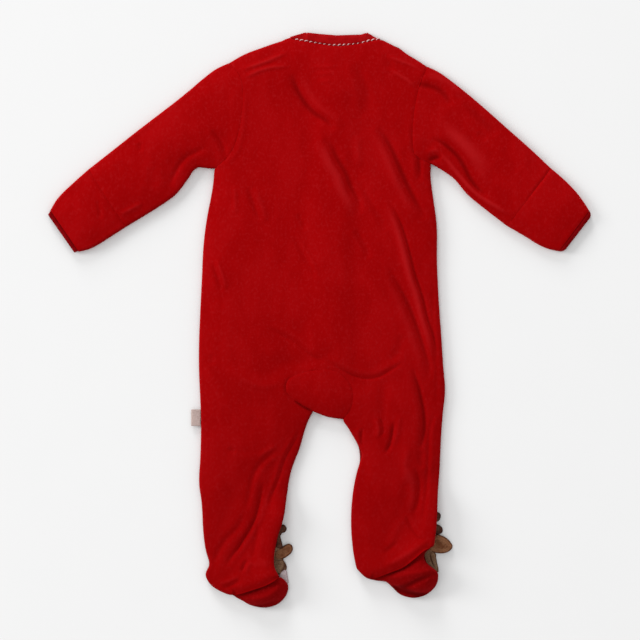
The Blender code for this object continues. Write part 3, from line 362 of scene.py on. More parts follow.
ARM_CREASES = [
    # Left sleeve
    ([(-150, 133), (-145, 147), (-139, 157), (-133, 163), (-123, 168), (-113, 172)],
     -1.0, 2.4, 0.3, 4, (5, -5)),
    ([(-108, 189), (-100, 179), (-95, 168), (-94, 156)], -1.0, 2.4, 0.5, 3, (-6, 0)),
    ([(-222, 119), (-220, 110), (-219, 101)], -0.7, 2.0, 0.3, 3, (6, 0)),
    ([(-200, 105), (-188, 111), (-177, 117)], 0.9, 2.2),
    ([(-180, 177), (-179, 168)], -0.8, 2.6),
    ([(-168, 152), (-166, 132)], -0.4, 5, 0.4, 5, (9, 0)),
    # Right sleeve
    ([(94, 237), (101, 235), (110, 233), (120, 229), (127, 222), (131, 214)], -1.7, 3.6, 0.9, 5, (9, 9)),
    ([(111, 181), (120, 178), (130, 171), (138, 163), (145, 152), (151, 140), (159, 130), (168, 122)],
     -2.1, 2.6, 0.7, 6, (9, 7)),
    ([(114, 171), (126, 160), (140, 143), (152, 130), (168, 118), (192, 104)], 1.5, 2.4),
    ([(112, 204), (135, 186), (156, 166), (172, 148)], 0.8, 8),
    ([(108, 159), (114, 162), (121, 163)], -2.2, 2.6, 0.8, 3, (-2, 7)),
    ([(143, 216), (158, 203), (177, 184)], -1.1, 6),
    ([(158, 187), (166, 180)], -0.6, 3),
    ([(184, 172), (190, 160), (200, 150)], -0.4, 5, 0.3, 5, (8, 4)),
]
# On the underside they are shallow, because it rests on the floor.
UNDER_CREASES = [
    ([(-70, 210), (-58, 170), (-62, 120)], 0.8, 5),
    ([(70, 215), (64, 160), (74, 95)], 0.9, 4),
    ([(-100, 60), (-70, 30), (-30, 22)], 0.7, 5),
    ([(104, 40), (80, 0), (50, -22)], 0.9, 5),
    ([(-96, -60), (-62, -84), (-34, -92)], 0.8, 5),
    ([(-52, -140), (-66, -176), (-92, -206)], 1.0, 4),
    ([(104, -70), (82, -92), (54, -96)], 0.8, 4),
    ([(98, -130), (92, -166), (70, -196)], 1.0, 5),
    ([(-120, 190), (-150, 168), (-176, 130)], 0.8, 5),
    ([(126, 196), (152, 160), (184, 128)], 0.8, 5),
]


def swell(plan, line, height, half_width):
    """A soft ridge or trough along a line, deepest at its middle and gone at its ends."""
    near, share = to_line(plan, line)
    return height * np.exp(-((near / half_width) ** 2)) * (1 - (2 * share - 1) ** CREASE_ENDS)


def creases(plan, rows):
    total = np.zeros(len(plan))
    for points, height, half_width, *second in rows:
        line = even(curve(points), CREASE_STEP)
        total += swell(plan, line, height, half_width)
        if second:
            second_height, second_half_width, aside = second
            total += swell(plan, line + np.array(aside), second_height, second_half_width)
    return total


NOISE_GRID = 97
NOISE_START = (500.3, 500.7)


def soft_noise(plan, size, seed, stretch=1.0):
    """Smooth random relief from -1 to 1 with bumps of a given size, longer up the body by `stretch`."""
    grid = np.random.RandomState(seed).uniform(-1, 1, (NOISE_GRID, NOISE_GRID))
    at = plan / (size, size * stretch) + NOISE_START
    cell = np.floor(at).astype(int)
    t = at - cell
    t = t * t * (3 - 2 * t)
    total = 0.0
    for i in (0, 1):
        for j in (0, 1):
            weight = (t[:, 0] if i else 1 - t[:, 0]) * (t[:, 1] if j else 1 - t[:, 1])
            total = total + weight * grid[(cell[:, 0] + i) % NOISE_GRID, (cell[:, 1] + j) % NOISE_GRID]
    return total


# Plan meshes ---------------------------------------------------------------------------------------
RINGS_IN = (0.3, 0.8, 1.6)  # rows of points just inside an edge, where it rolls over
DENSE_STEP = 0.35  # spacing of the points that distances to an edge are measured from
DEPTH_KEPT = 0.93  # a row's points nearer the edge than this share of its depth are left out
ROW_SPACING = 0.45  # least spacing along a row, in cells
LATTICE_CLEAR = 0.6  # the lattice begins this many cells inside the last row
PLAN_WELD = 1e-6


def inside(plan, ring):
    within = np.zeros(len(plan), bool)
    for (x0, y0), (x1, y1) in zip(ring, np.roll(ring, -1, axis=0)):
        if y0 != y1:
            crosses = (y0 > plan[:, 1]) != (y1 > plan[:, 1])
            within ^= crosses & (plan[:, 0] < (x1 - x0) * (plan[:, 1] - y0) / (y1 - y0) + x0)
    return within


def rows_inside(ring, tree, cell, depths):
    """Points along a ring's inner side at a few depths."""
    rows = []
    for depth in depths:
        row = ring - depth * outward(ring)
        row = row[nearest(tree, row)[0] > DEPTH_KEPT * depth]
        kept = [row[0]]
        for p in row[1:]:
            if np.hypot(*(p - kept[-1])) > ROW_SPACING * cell:
                kept.append(p)
        rows.append(np.array(kept))
    return np.vstack(rows)


def lattice_over(ring, cell):
    """Points of an even triangular lattice over a ring's box."""
    low, high = ring.min(axis=0), ring.max(axis=0)
    rows = []
    for n, y in enumerate(np.arange(low[1], high[1], cell * math.sqrt(3) / 2)):
        x = np.arange(low[0] + (n % 2) * cell / 2, high[0], cell)
        rows.append(np.column_stack([x, np.full(len(x), y)]))
    return np.vstack(rows)


def plan_mesh(ring, cell, depths=RINGS_IN):
    """Triangles inside a ring: points whose first ones are the ring's, faces, distance to the ring's
    nearest point and its number."""
    closed = np.vstack([ring, ring[:1]])
    tree = tree_of(along(closed, np.arange(0, lengths(closed)[-1], DENSE_STEP)))
    lattice = lattice_over(ring, cell)
    lattice = lattice[inside(lattice, ring)]
    lattice = lattice[nearest(tree, lattice)[0] > depths[-1] + LATTICE_CLEAR * cell]
    inner = np.vstack([rows_inside(ring, tree, cell, depths), lattice])
    points = np.vstack([ring, inner[inside(inner, ring)]])
    made = delaunay_2d_cdt(
        [Vector(p) for p in points.tolist()], [], [list(range(len(ring)))], 1, PLAN_WELD
    )
    verts, faces, origin = made[0], made[2], made[3]
    order = np.full(len(points), -1)
    for k, sources in enumerate(origin):
        order[list(sources)] = k
    kept = order[order >= 0]
    _, first = np.unique(kept, return_index=True)
    kept = kept[np.sort(first)]
    new_of = np.full(len(verts), -1)
    new_of[kept] = np.arange(len(kept))
    faces = new_of[np.array([face for face in faces if len(face) == 3])]
    faces = faces[(faces >= 0).all(axis=1)]
    points = np.array(verts)[kept]
    a, b, c = (points[faces[:, k]] for k in range(3))
    area = (b - a)[:, 0] * (c - a)[:, 1] - (b - a)[:, 1] * (c - a)[:, 0]
    faces[area < 0] = faces[area < 0][:, ::-1]
    number = nearest(tree_of(ring), points)[1]
    distance = nearest(tree, points)[0]
    distance[: len(ring)] = 0.0
    return points, faces, distance, number


def relaxed(values, faces, rounds, pinned):
    """Values averaged with their neighbours' a number of times, but for the pinned ones."""
    ends = np.vstack([faces[:, [0, 1]], faces[:, [1, 2]], faces[:, [2, 0]]])
    a, b = np.concatenate([ends[:, 0], ends[:, 1]]), np.concatenate([ends[:, 1], ends[:, 0]])
    count = np.maximum(np.bincount(a, minlength=len(values)), 1)
    held = values.copy()
    for _ in range(rounds):
        mean = np.bincount(a, weights=values[b], minlength=len(values)) / count
        values = np.where(pinned, held, mean)
    return values


def rounded(distance, radius):
    """0 at an edge and 1 past a radius, along a quarter circle."""
    t = np.clip(distance / radius, 0, 1)
    return np.sqrt(np.maximum(1 - (1 - t) ** 2, 0))


# Kinds of edge, found by looking at what lies just past it
OUTLINE, SEAM, FREE = 0, 1, 2
LOOK_PAST = 1.3
LEAST_SHARED = 0.7  # neighbours that share less height than this aren't sewn
CLOTH_NODES = (
    "back_panel", "gusset", "front_left", "front_right", "sleeve_left", "sleeve_right", "cuff_left",
    "cuff_right", "cuff_trim_left", "cuff_trim_right", "neck_band", "neck_piping", "foot_left",
    "foot_right", "sole_left", "sole_right",
)


def edge_kinds(node, ring, low, high):
    """Whether each point of a ring is at the garment's outline, a seam or a free edge."""
    past = ring + LOOK_PAST * outward(ring)
    kinds = np.full(len(ring), OUTLINE)
    for other in CLOTH_NODES:
        if other == node:
            continue
        over, under = face_height(other, past), face_height(other, past, above=False)
        met = ~np.isnan(over)
        shared = np.minimum(over, high) - np.maximum(under, low)
        kinds[met & (kinds == OUTLINE)] = FREE
        kinds[met & (shared > LEAST_SHARED)] = SEAM
    return kinds


def steadied(kinds):
    """Kinds with short runs given to their neighbours."""
    windows = np.column_stack([np.roll(kinds, shift) for shift in (2, 1, 0, -1, -2)])
    return np.array([np.bincount(w).argmax() for w in windows])


# How deep a seam's groove is near each of these places (x, y): the armholes, the cuffs and the seat
SEAM_DEPTHS = [
    ((-80, 205), 0.06), ((-92, 165), 0.15), ((95, 205), 0.4), ((97, 165), 0.5), ((-215, 122), 0.6),
    ((225, 142), 0.7), ((195, 105), 0.12), ((-18, -62), 0.12), ((20, -60), 0.08), ((-33, -72), 0.9),
    ((32, -90), 0.08),
]
SEAM_BLEND = 4.0  # a place's weight falls off beyond about this distance


def seam_depth(plan):
    """Depth of a seam's groove, blended between the named places."""
    total = weights = 0.0
    for place, depth in SEAM_DEPTHS:
        weight = (np.linalg.norm(plan - np.array(place), axis=1) + SEAM_BLEND) ** -4
        total, weights = total + weight * depth, weights + weight
    return total / weights


def eased(distance, radius, kind):
    """How far the cloth has come up from its edge: a quarter circle, or a softer valley at a seam."""
    valley = 1 - np.exp(-((distance / radius) ** 2))
    return np.where(kind == SEAM, valley, rounded(distance, radius))


# Making pieces -------------------------------------------------------------------------------------
def piece(name, points, faces, look, sharp=(), relief_shade_and_marks=None):
    """A smooth-shaded mesh object from points in millimetres, with a value at each point: the relief of
    creases and marks, less painted shade at some edges, from which its material paints shade and
    highlights.
    """
    mesh = bpy.data.meshes.new(name)
    faces = faces.tolist() if isinstance(faces, np.ndarray) else faces
    mesh.from_pydata((np.asarray(points) * MM).tolist(), [], faces)
    mesh.validate()
    mesh.shade_smooth()
    if len(sharp):
        marked = {tuple(sorted(edge)) for edge in np.asarray(sharp).tolist()}
        flags = [tuple(sorted(e.vertices)) in marked for e in mesh.edges]
        mesh.attributes.new("sharp_edge", "BOOLEAN", "EDGE").data.foreach_set("value", flags)
    if relief_shade_and_marks is not None:
        mesh.attributes.new("relief_shade_and_marks", "FLOAT", "POINT").data.foreach_set("value", relief_shade_and_marks)
    mesh.materials.append(look)
    made = bpy.data.objects.new(name, mesh)
    bpy.context.scene.collection.objects.link(made)
    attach(made, "root")
    return made


def pulled(ring, pulls):
    """A ring shifted near a few places, by a way that fades over a reach."""
    for place, shift, reach in pulls:
        near = np.exp(-(np.linalg.norm(ring - np.array(place), axis=1) / reach) ** 2)
        ring = ring + near[:, None] * np.array(shift)
    return ring


MEET_ROUNDS = 4  # how softly one kind of edge runs into the next
TUCK_STEP = 0.25
TUCK_STEPS = 14
TUCK_SOFTENING = 6
TUCK_MARGIN = 0.8  # the tucked piece ends this far inside the pieces over it


def tucked_in(ring, covers):
    """A ring drawn in, step by step, wherever it shows past the nodes over it."""
    shift = np.zeros(len(ring))
    out = outward(ring)
    for _ in range(TUCK_STEPS):
        edge = ring - (shift - TUCK_MARGIN)[:, None] * out
        bare = np.all([np.isnan(face_height(node, edge)) for node in covers], axis=0)
        shift[bare] += TUCK_STEP
    for _ in range(TUCK_SOFTENING):
        shift = np.maximum(shift, (np.roll(shift, 1) + np.roll(shift, -1)) / 2)
    return ring - shift[:, None] * out


def softened(values):
    """Values round a ring, each mixed with its neighbours'."""
    return (np.roll(values, 1, axis=0) + 2 * values + np.roll(values, -1, axis=0)) / 4


def panel_outline(node, step, corner, pulls, covers):
    """Outline of a panel's visible piece, and the kind of edge at each of its points."""
    ring = smooth_rim(rim_of(node), step, corner)[:, :2]
    ring = ring + SEAM_OPEN * outward(ring)
    inner = ring - 2 * SEAM_OPEN * outward(ring)
    low, high = (filled(inner, face_height(node, inner, above)) for above in (False, True))
    kinds = steadied(edge_kinds(node, ring, low, high))
    if not (covers or pulls):
        return ring, kinds
    ring = pulled(ring, pulls)
    if covers:
        ring = tucked_in(ring, covers)
    drawn = softened(even(np.vstack([ring, ring[:1]]), step)[:-1])
    drawn = without_spikes(drawn, DRAWN_SLIVER)
    return drawn, kinds[nearest(tree_of(ring), drawn)[1]]


def panel(name, node, look, rows=(), *, cell, upper=True, rounds=14, grain=1.0, free_roll=EDGE_ROLL,
          crease_fade=CREASE_FADE, tuck=0.0, corner=CORNER, soft_hem=False, pulls=(), covers=()):
    """A closed shell of cloth on a flat solid: its two faces share the points of its edge.

    Its outline reaches over the gap at its seams, where the piece dips by `tuck` more than its
    neighbour, so that it ends below it. `pulls` shift the outline near some places, and no part of it
    shows past the nodes named in `covers`.
    """
    ring, kinds = panel_outline(node, min(cell, RING_STEP), corner, pulls, covers)
    plan, faces, distance, number = plan_mesh(ring, cell)
    edge = len(ring)
    kind = kinds[number]
    on_edge = np.arange(len(plan)) < edge
    high = relaxed(filled(plan, face_height(node, plan)), faces, rounds, on_edge)
    low = relaxed(filled(plan, face_height(node, plan, above=False)), faces, rounds, on_edge)
    groove = seam_depth(ring) + tuck
    rim_high, rim_low = high[:edge], low[:edge]
    if upper:
        meet = np.choose(kinds, [rim_low - LAYER_MEET, rim_high - groove, rim_low])
    else:
        meet = np.choose(kinds, [rim_high + LAYER_MEET, rim_low + groove, (rim_high + rim_low) / 2])
    for _ in range(MEET_ROUNDS):
        meet = softened(meet)
    drop, climb = rim_high - meet, meet - rim_low
    fade = np.clip(distance / crease_fade, 0, 1)
    fade = np.where(kind == SEAM, CREASE_AT_SEAM + (1 - CREASE_AT_SEAM) * fade, fade)
    relief_shade_and_marks = creases(plan, rows)
    shift = fade * relief_shade_and_marks
    if upper:
        # Painted shade at the outline's edges that face away from the light
        relief_shade_and_marks = relief_shade_and_marks - painted_edge_shade(ring, kinds == OUTLINE, number, distance)
        shift += grain * fade * nap_relief(plan)
        shift = np.maximum(shift, LEAST_TOP - high)
        high, low = high + shift, low + shift
    else:
        low = low + shift
    form = np.where(soft_hem & (kind == FREE), SEAM, kind)
    bent = 1 - eased(distance, np.choose(kind, [ROLL, SEAM_ROLL, free_roll]), form)
    high = high - drop[number] * bent
    low = low + climb[number] * bent
    high[:edge] = low[:edge] = meet
    return shell(name, plan, faces, high, low, edge, look, relief_shade_and_marks)


def two_skins(plan, faces, top, base, shared):
    """Points and faces of an upper and a lower skin over a plan mesh; they share some of its points."""
    under = np.arange(len(plan))
    under[~shared] = len(plan) + np.arange((~shared).sum())
    points = np.vstack([np.column_stack([plan, top]), np.column_stack([plan, base])[~shared]])
    return points, np.vstack([faces, under[faces][:, ::-1]])


def shell(name, plan, faces, top, base, edge, look, relief_shade_and_marks):
    """A closed mesh between two heights over a plan mesh whose edge points they share."""
    points, both = two_skins(plan, faces, top, base, np.arange(len(plan)) < edge)
    rim = np.column_stack([np.arange(edge), np.roll(np.arange(edge), -1)])
    return piece(name, points, both, look, sharp=rim, relief_shade_and_marks=np.concatenate([relief_shade_and_marks, relief_shade_and_marks[edge:]]))


EDGE_SHADE = 2.4  # painted shade where the cloth turns down over an edge that faces away from the light
EDGE_SHADE_REACH = 1.5
# The way, in plan, that the edges with the most painted shade face: away from the lights
SHADED_WAY = np.array([0.45, -0.89])


def painted_edge_shade(ring, chosen, number, distance):
    """Painted shade near the chosen parts of a ring, darkest where they face away from the light."""
    facing = np.clip(outward(ring) @ SHADED_WAY, 0, 1) * chosen
    return EDGE_SHADE * facing[number] * np.exp(-((distance / EDGE_SHADE_REACH) ** 2))


NAP = [(0.34, 21, 3, 1.7), (0.13, 9, 4, 1.6), (0.04, 3.6, 5, 1.3)]  # height, size, seed and stretch


def nap_relief(plan):
    """The unevenness of soft cloth that hasn't been ironed."""
    return sum(height * soft_noise(plan, size, seed, stretch) for height, size, seed, stretch in NAP)


TUBE_WALL = 1.5
TUBE_STEP = 1.5
TUBE_RINGS_IN = (0.35, 0.9, 1.7)
UPPER_SKIN = 2.1  # the rim of a tube's upper skin lies above this height
FOLD_TOP = 2.6  # and where it is lower than this, the tube is folded; elsewhere it is open
FOLD_LEVEL = 1.95  # height of the middle of a fold
FOLD_KNOWN = 2.8  # the heights of a tube are read at least about this far inside its folds
FOLD_SAMPLE = 1.2  # nearer ones are read this many times the missing distance further in
LIP = 0.6  # how far each skin turns in at a tube's open end
BULGE_REACH = 2.1  # a trim bulges fully this far from its open ends
TUBE_ROUNDS = 10
STRETCH_POINTS = 5  # points on each step of an edge that distances to it are measured from


def tube(name, node, look, rows=(), under_rows=(), *, cell, bulge=0.0, grain=1.0, wall=TUBE_WALL,
         tuck=0.1, pulls=()):
    """A flattened tube of cloth, open at its ends: two skins that share their points at its folds."""
    rim = smooth_rim(rim_of(node, UPPER_SKIN), min(cell, TUBE_STEP))
    ring = rim[:, :2]
    is_fold = rim[:, 2] < FOLD_TOP
    ring = pulled(ring + SEAM_OPEN * outward(ring), pulls)
    plan, faces, distance, number = plan_mesh(ring, cell, TUBE_RINGS_IN)
    count, edge = len(plan), len(ring)
    to_fold = nearest(tree_of(stretches(ring, is_fold)), plan)[0]
    to_end = nearest(tree_of(stretches(ring, ~is_fold)), plan)[0]
    inward = ring.mean(axis=0) - plan
    inward /= np.maximum(np.linalg.norm(inward, axis=1), TINY)[:, None]
    short_of = np.clip(FOLD_KNOWN - to_fold, 0, FOLD_KNOWN)[:, None]
    high = filled(plan, face_height(node, plan + FOLD_SAMPLE * short_of * inward))
    high = relaxed(high, faces, TUBE_ROUNDS, np.zeros(count, bool))
    kinds = edge_kinds(node, ring, np.zeros(edge), high[:edge])
    fade = np.clip(to_fold / CREASE_FADE, 0, 1)
    fade *= CREASE_AT_SEAM + (1 - CREASE_AT_SEAM) * np.clip(to_end / CREASE_FADE, 0, 1)
    relief_shade_and_marks = creases(plan, rows)
    high = high + fade * (relief_shade_and_marks + grain * nap_relief(plan))
    # Painted shade at the folds that face away from the light
    relief_shade_and_marks = relief_shade_and_marks - painted_edge_shade(ring, is_fold, number, distance)
    low = fade * creases(plan, under_rows)
    high = high + bulge * np.sin(np.clip(to_end / BULGE_REACH, 0, 1) * math.pi / 2)
    kind = kinds[number]
    at_end = np.where(kind == SEAM, seam_depth(plan) + tuck, LIP)
    dip = at_end * (1 - eased(to_end, np.where(kind == SEAM, SEAM_ROLL, EDGE_ROLL), kind))
    roll = 1 - rounded(to_fold, ROLL)
    top = high - dip
    top = top - (top - FOLD_LEVEL) * roll
    base = low + dip
    base = base + (FOLD_LEVEL - base) * roll
    shared = np.zeros(count, bool)
    shared[:edge] = is_fold
    top[shared] = FOLD_LEVEL
    points, both = two_skins(plan, faces, top, base, shared)
    made = piece(name, points, both, look, relief_shade_and_marks=np.concatenate([relief_shade_and_marks, 0 * relief_shade_and_marks[~shared]]))
    thicken(made, wall)
    return made


def stretches(ring, chosen):
    """Closely spaced points along the chosen stretches of a ring."""
    found = []
    for k in np.flatnonzero(chosen):
        j = (k + 1) % len(ring)
        if chosen[j]:
            found.append(ring[k] + (ring[j] - ring[k]) * np.linspace(0, 1, STRETCH_POINTS)[:, None])
        else:
            found.append(ring[k : k + 1])
    return np.vstack(found)


def thicken(made, wall):
    """A wall inward from an open skin."""
    solidify = made.modifiers.new("wall", "SOLIDIFY")
    solidify.thickness = wall * MM
    solidify.offset = -1.0
    solidify.use_rim = True
    solidify.use_even_offset = False
    apply_modifiers(made)


def apply_modifiers(made):
    graph = bpy.context.evaluated_depsgraph_get()
    finished = bpy.data.meshes.new_from_object(made.evaluated_get(graph))
    old = made.data
    made.modifiers.clear()
    made.data = finished
    bpy.data.meshes.remove(old)


# Materials -----------------------------------------------------------------------------------------
def srgb(r, g, b):
    """A colour as the photo shows it, from 0 to 255, in linear light."""
    return tuple(((c / 255 + 0.055) / 1.055) ** 2.4 if c > 10 else c / 255 / 12.92 for c in (r, g, b))


class Look:
    """A material built up node by node, over places in the part's own frame."""

    def __init__(self, name, roughness, sheen=0.0, sheen_roughness=0.4, sheen_tint=(1, 1, 1),
                 specular=0.3):
        self.material = bpy.data.materials.new(name)
        self.material.use_nodes = True
        self.nodes = self.material.node_tree.nodes
        self.links = self.material.node_tree.links
        self.shader = self.nodes["Principled BSDF"]
        self.shader.inputs["Roughness"].default_value = roughness
        self.shader.inputs["Sheen Weight"].default_value = sheen
        self.shader.inputs["Sheen Roughness"].default_value = sheen_roughness
        self.shader.inputs["Sheen Tint"].default_value = (*sheen_tint, 1)
        self.shader.inputs["Specular IOR Level"].default_value = specular
        self.place = self.nodes.new("ShaderNodeTexCoord").outputs["Object"]

    def noise(self, size, detail=2.0, rough=0.55, bend=0.0):
        """Soft noise with bumps of a size in millimetres along x, y and z."""
        node = self.nodes.new("ShaderNodeTexNoise")
        node.inputs["Scale"].default_value = 1.0
        node.inputs["Detail"].default_value = detail
        node.inputs["Roughness"].default_value = rough
        node.inputs["Distortion"].default_value = bend
        scaled = self.nodes.new("ShaderNodeMapping")
        scaled.inputs["Scale"].default_value = [1 / (length * MM) for length in size]
        self.links.new(self.place, scaled.inputs["Vector"])
        self.links.new(scaled.outputs["Vector"], node.inputs["Vector"])
        return node.outputs["Fac"]

    def relief_shade_and_marks(self):
        """The value kept with each point of a mesh: relief and marks, less painted shade at edges, for
        painting shade and highlights.
        """
        node = self.nodes.new("ShaderNodeAttribute")
        node.attribute_name = "relief_shade_and_marks"
        return node.outputs["Fac"]

    def height_up_body(self):
        node = self.nodes.new("ShaderNodeSeparateXYZ")
        self.links.new(self.place, node.inputs[0])
        return node.outputs["Y"]

    def math(self, how, *values):
        node = self.nodes.new("ShaderNodeMath")
        node.operation = how
        for slot, value in zip(node.inputs, values):
            if isinstance(value, float):
                slot.default_value = value
            else:
                self.links.new(value, slot)
        return node.outputs[0]

    def mix(self, share, a, b, how="MIX"):
        """Colour a with a share of b, or of its product with b where `how` is MULTIPLY."""
        node = self.nodes.new("ShaderNodeMix")
        node.data_type = "RGBA"
        node.blend_type = how
        colours = [slot for slot in node.inputs if slot.type == "RGBA"]
        for slot, value in zip(colours, (a, b)):
            if isinstance(value, tuple):
                slot.default_value = (*value, 1)
            else:
                self.links.new(value, slot)
        self.links.new(share, node.inputs["Factor"])
        return [slot for slot in node.outputs if slot.type == "RGBA"][0]

    def tint(self, colour, other, value, none, full, most=1.0, how="MIX"):
        """A colour with the other one mixed in, from not at all where the value is `none` to by `most`
        where it is `full`."""
        node = self.nodes.new("ShaderNodeMapRange")
        node.interpolation_type = "SMOOTHSTEP"
        for slot, number in zip(("From Min", "From Max", "To Min", "To Max"), (none, full, 0.0, most)):
            node.inputs[slot].default_value = number
        self.links.new(value, node.inputs["Value"])
        return self.mix(node.outputs["Result"], colour, other, how)

    def colour(self, value):
        self.links.new(value, self.shader.inputs["Base Color"])

    def bump(self, layers):
        """Relief from (height socket, depth in millimetres) pairs."""
        normal = None
        for value, depth in layers:
            node = self.nodes.new("ShaderNodeBump")
            node.inputs["Distance"].default_value = depth * MM
            self.links.new(value, node.inputs["Height"])
            if normal is not None:
                self.links.new(normal, node.inputs["Normal"])
            normal = node.outputs["Normal"]
        self.links.new(normal, self.shader.inputs["Normal"])


RED = srgb(147, 1, 3)
RED_LIGHT = srgb(156, 6, 9)
RED_DEEP = srgb(134, 0, 2)
# Painted shade in the troughs of creases and at edges turned from the light
RED_FOLD_SHADE = srgb(104, 0, 1)
# Painted highlight on the ridges of creases
RED_CREST_HIGHLIGHT = srgb(171, 25, 28)
RED_LINT = srgb(160, 24, 27)
RED_SHEEN = (1.0, 0.05, 0.06)
LOW_SHADE = (0.78, 0.7, 0.7)  # painted shade: the colour is multiplied by this at the feet, and by 1 at the chest
LOW_SHADE_SPAN = (0.15, -0.29)  # heights up the body, in metres, that it goes from and to


def velour(name, base=RED, light=RED_LIGHT, deep=RED_DEEP, fold=RED_FOLD_SHADE, crest_highlight=RED_CREST_HIGHLIGHT,
           lint=RED_LINT):
    """Short soft pile: patches and streaks where it lies brushed another way, and a soft sheen; shade is
    painted into the troughs of creases and at edges turned from the light, and highlights onto their
    ridges.
    """
    look = Look(name, roughness=0.95, sheen=0.30, sheen_roughness=0.45, sheen_tint=RED_SHEEN,
                specular=0.02)
    patches = look.noise((34, 56, 40), rough=0.5, bend=0.6)
    streaks = look.noise((6, 17, 12), rough=0.6, bend=0.4)
    flecks = look.noise((2.2, 3.0, 2.6), rough=0.6)
    pile = look.noise((0.55, 0.8, 0.6), rough=0.7)
    tone = look.math("ADD", look.math("MULTIPLY", patches, 0.7), look.math("MULTIPLY", streaks, 0.3))
    colour = look.tint(base, light, tone, none=0.44, full=0.64, most=0.45)
    colour = look.tint(colour, deep, tone, none=0.54, full=0.38, most=0.22)
    colour = look.tint(colour, lint, flecks, none=0.45, full=0.80, most=0.38)
    colour = look.tint(colour, deep, pile, none=0.55, full=0.25, most=0.35)
    # Painted shade in the troughs of creases and at edges turned from the light, and painted highlights
    # on their ridges
    relief_shade_and_marks = look.relief_shade_and_marks()
    colour = look.tint(colour, fold, relief_shade_and_marks, none=-0.2, full=-2.6, most=0.75)
    colour = look.tint(colour, crest_highlight, relief_shade_and_marks, none=0.2, full=1.8, most=0.6)
    # Painted shade: the cloth is drawn darker towards the feet
    look.colour(look.tint(colour, LOW_SHADE, look.height_up_body(), *LOW_SHADE_SPAN, how="MULTIPLY"))
    look.bump([(patches, 0.35), (streaks, 0.10), (flecks, 0.06), (pile, 0.10)])
    return look.material


def rib_knit(name, base, light, deep):
    """Fine ribs; the neck band's own ribs are in its mesh, the cuff trims have none in theirs."""
    look = Look(name, roughness=0.9, sheen=0.25, sheen_tint=RED_SHEEN, specular=0.03)
    stitches = look.noise((0.9, 0.7, 0.8), detail=1.5, rough=0.5)
    patches = look.noise((12, 12, 12), rough=0.5)
    colour = look.tint(base, light, patches, none=0.35, full=0.65)
    look.colour(look.tint(colour, deep, stitches, none=0.5, full=0.3, most=0.4))
    look.bump([(stitches, 0.25)])
    return look.material


def yarn(name, base, deep):
    look = Look(name, roughness=0.8, sheen=0.3, sheen_tint=base, specular=0.2)
    strands = look.noise((0.5, 0.5, 0.5), rough=0.6)
    look.colour(look.tint(deep, base, strands, none=0.35, full=0.65))
    look.bump([(strands, 0.2)])
    return look.material


def plush(name, base, light, deep):
    look = Look(name, roughness=0.95, sheen=0.2, sheen_roughness=0.5, sheen_tint=light, specular=0.05)
    tufts = look.noise((0.9, 1.1, 0.9), detail=3, rough=0.65)
    patches = look.noise((6, 6, 6), rough=0.5)
    colour = look.tint(base, light, patches, none=0.35, full=0.65)
    colour = look.tint(colour, deep, tufts, none=0.58, full=0.35, most=0.6)
    # Darker where the plush has marks of its own and with painted shade near its edges; lighter along
    # its stitches
    relief_shade_and_marks = look.relief_shade_and_marks()
    colour = look.tint(colour, deep, relief_shade_and_marks, none=-0.1, full=-0.9, most=0.85)
    look.colour(look.tint(colour, light, relief_shade_and_marks, none=0.1, full=0.5, most=0.6))
    look.bump([(tufts, 0.5)])
    return look.material


def tape(name, base, deep):
    look = Look(name, roughness=0.75, sheen=0.2)
    across = look.noise((4.0, 0.25, 1.0), detail=1, rough=0.5)
    length = look.noise((0.25, 4.0, 1.0), detail=1, rough=0.5)
    weave = look.math("ADD", across, length)
    look.colour(look.tint(deep, base, weave, none=0.75, full=1.25))
    look.bump([(weave, 0.12)])
    return look.material


velour_red = velour("velour_red")
# The same velour drawn darker, as painted shade on the feet; its fourth and fifth colours are the
# painted shade in folds and the painted highlight on ridges
velour_toe_shaded = velour(
    "velour_toe_shaded", srgb(130, 1, 3), srgb(141, 4, 7), srgb(117, 0, 2), srgb(82, 0, 1), srgb(150, 6, 9)
)
rib_red = rib_knit("rib_red_knit", srgb(136, 3, 6), srgb(152, 8, 12), srgb(108, 0, 3))
# A darker copy of the same knit: painted shade on the cuff trims, which turn down at the cuffs' ends
rib_shaded = rib_knit("rib_red_knit_shaded", srgb(112, 1, 4), srgb(126, 4, 8), srgb(84, 0, 2))
piping_red_yarn = yarn("piping_red_yarn", srgb(158, 8, 12), srgb(140, 2, 5))
piping_white_yarn = yarn("piping_white_yarn", srgb(240, 214, 214), srgb(205, 150, 152))
label_weave = tape("label_weave", srgb(188, 168, 162), srgb(160, 138, 132))
face_plush = plush("face_plush", srgb(120, 90, 68), srgb(136, 108, 84), srgb(70, 38, 26))
muzzle_plush = plush("muzzle_plush", srgb(186, 168, 170), srgb(206, 192, 194), srgb(146, 122, 126))
ear_plush = plush("ear_plush", srgb(110, 66, 42), srgb(138, 94, 66), srgb(62, 30, 20))
antler_plush = plush("antler_plush", srgb(76, 44, 34), srgb(98, 64, 50), srgb(42, 20, 15))


# Cloth pieces --------------------------------------------------------------------------------------
SIDES = ("left", "right")
HEM_ROLL = 4.6  # half width of the soft slope at the hem of a leg
FOOT_CORNER = 75.0
SEAT_CORNER = 80.0
SOLE_FADE = 2.5
HEM_UNDER = 0.6  # share of the hems' depth that the soles have too
HEMS = [(points, HEM_UNDER * height, half_width) for points, height, half_width in LEG_CREASES[-2:]]
BACK_PULLS = [
    ((14, 276), (0, -0.7), 60), ((-32, 281), (0, 1.9), 5), ((61, 280.3), (0.6, 1.2), 6),
    ((40, -134), (1.2, -0.5), 6),
]
SOLE_PULLS = {"left": [], "right": [((107, -236.5), (-2.8, -0.6), 5.0)]}
TRIM_PULLS = {
    "left": [((-269.5, 106.3), (1.3, 0.3), 1.7), ((-243.2, 68.8), (0.1, 1.3), 1.7)],
    "right": [((271.7, 104.7), (-1.3, -0.2), 1.7), ((243.6, 68.3), (0.2, 1.3), 1.7)],
}


def dress(made, node):
    """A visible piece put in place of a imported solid."""
    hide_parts(node)
    return made


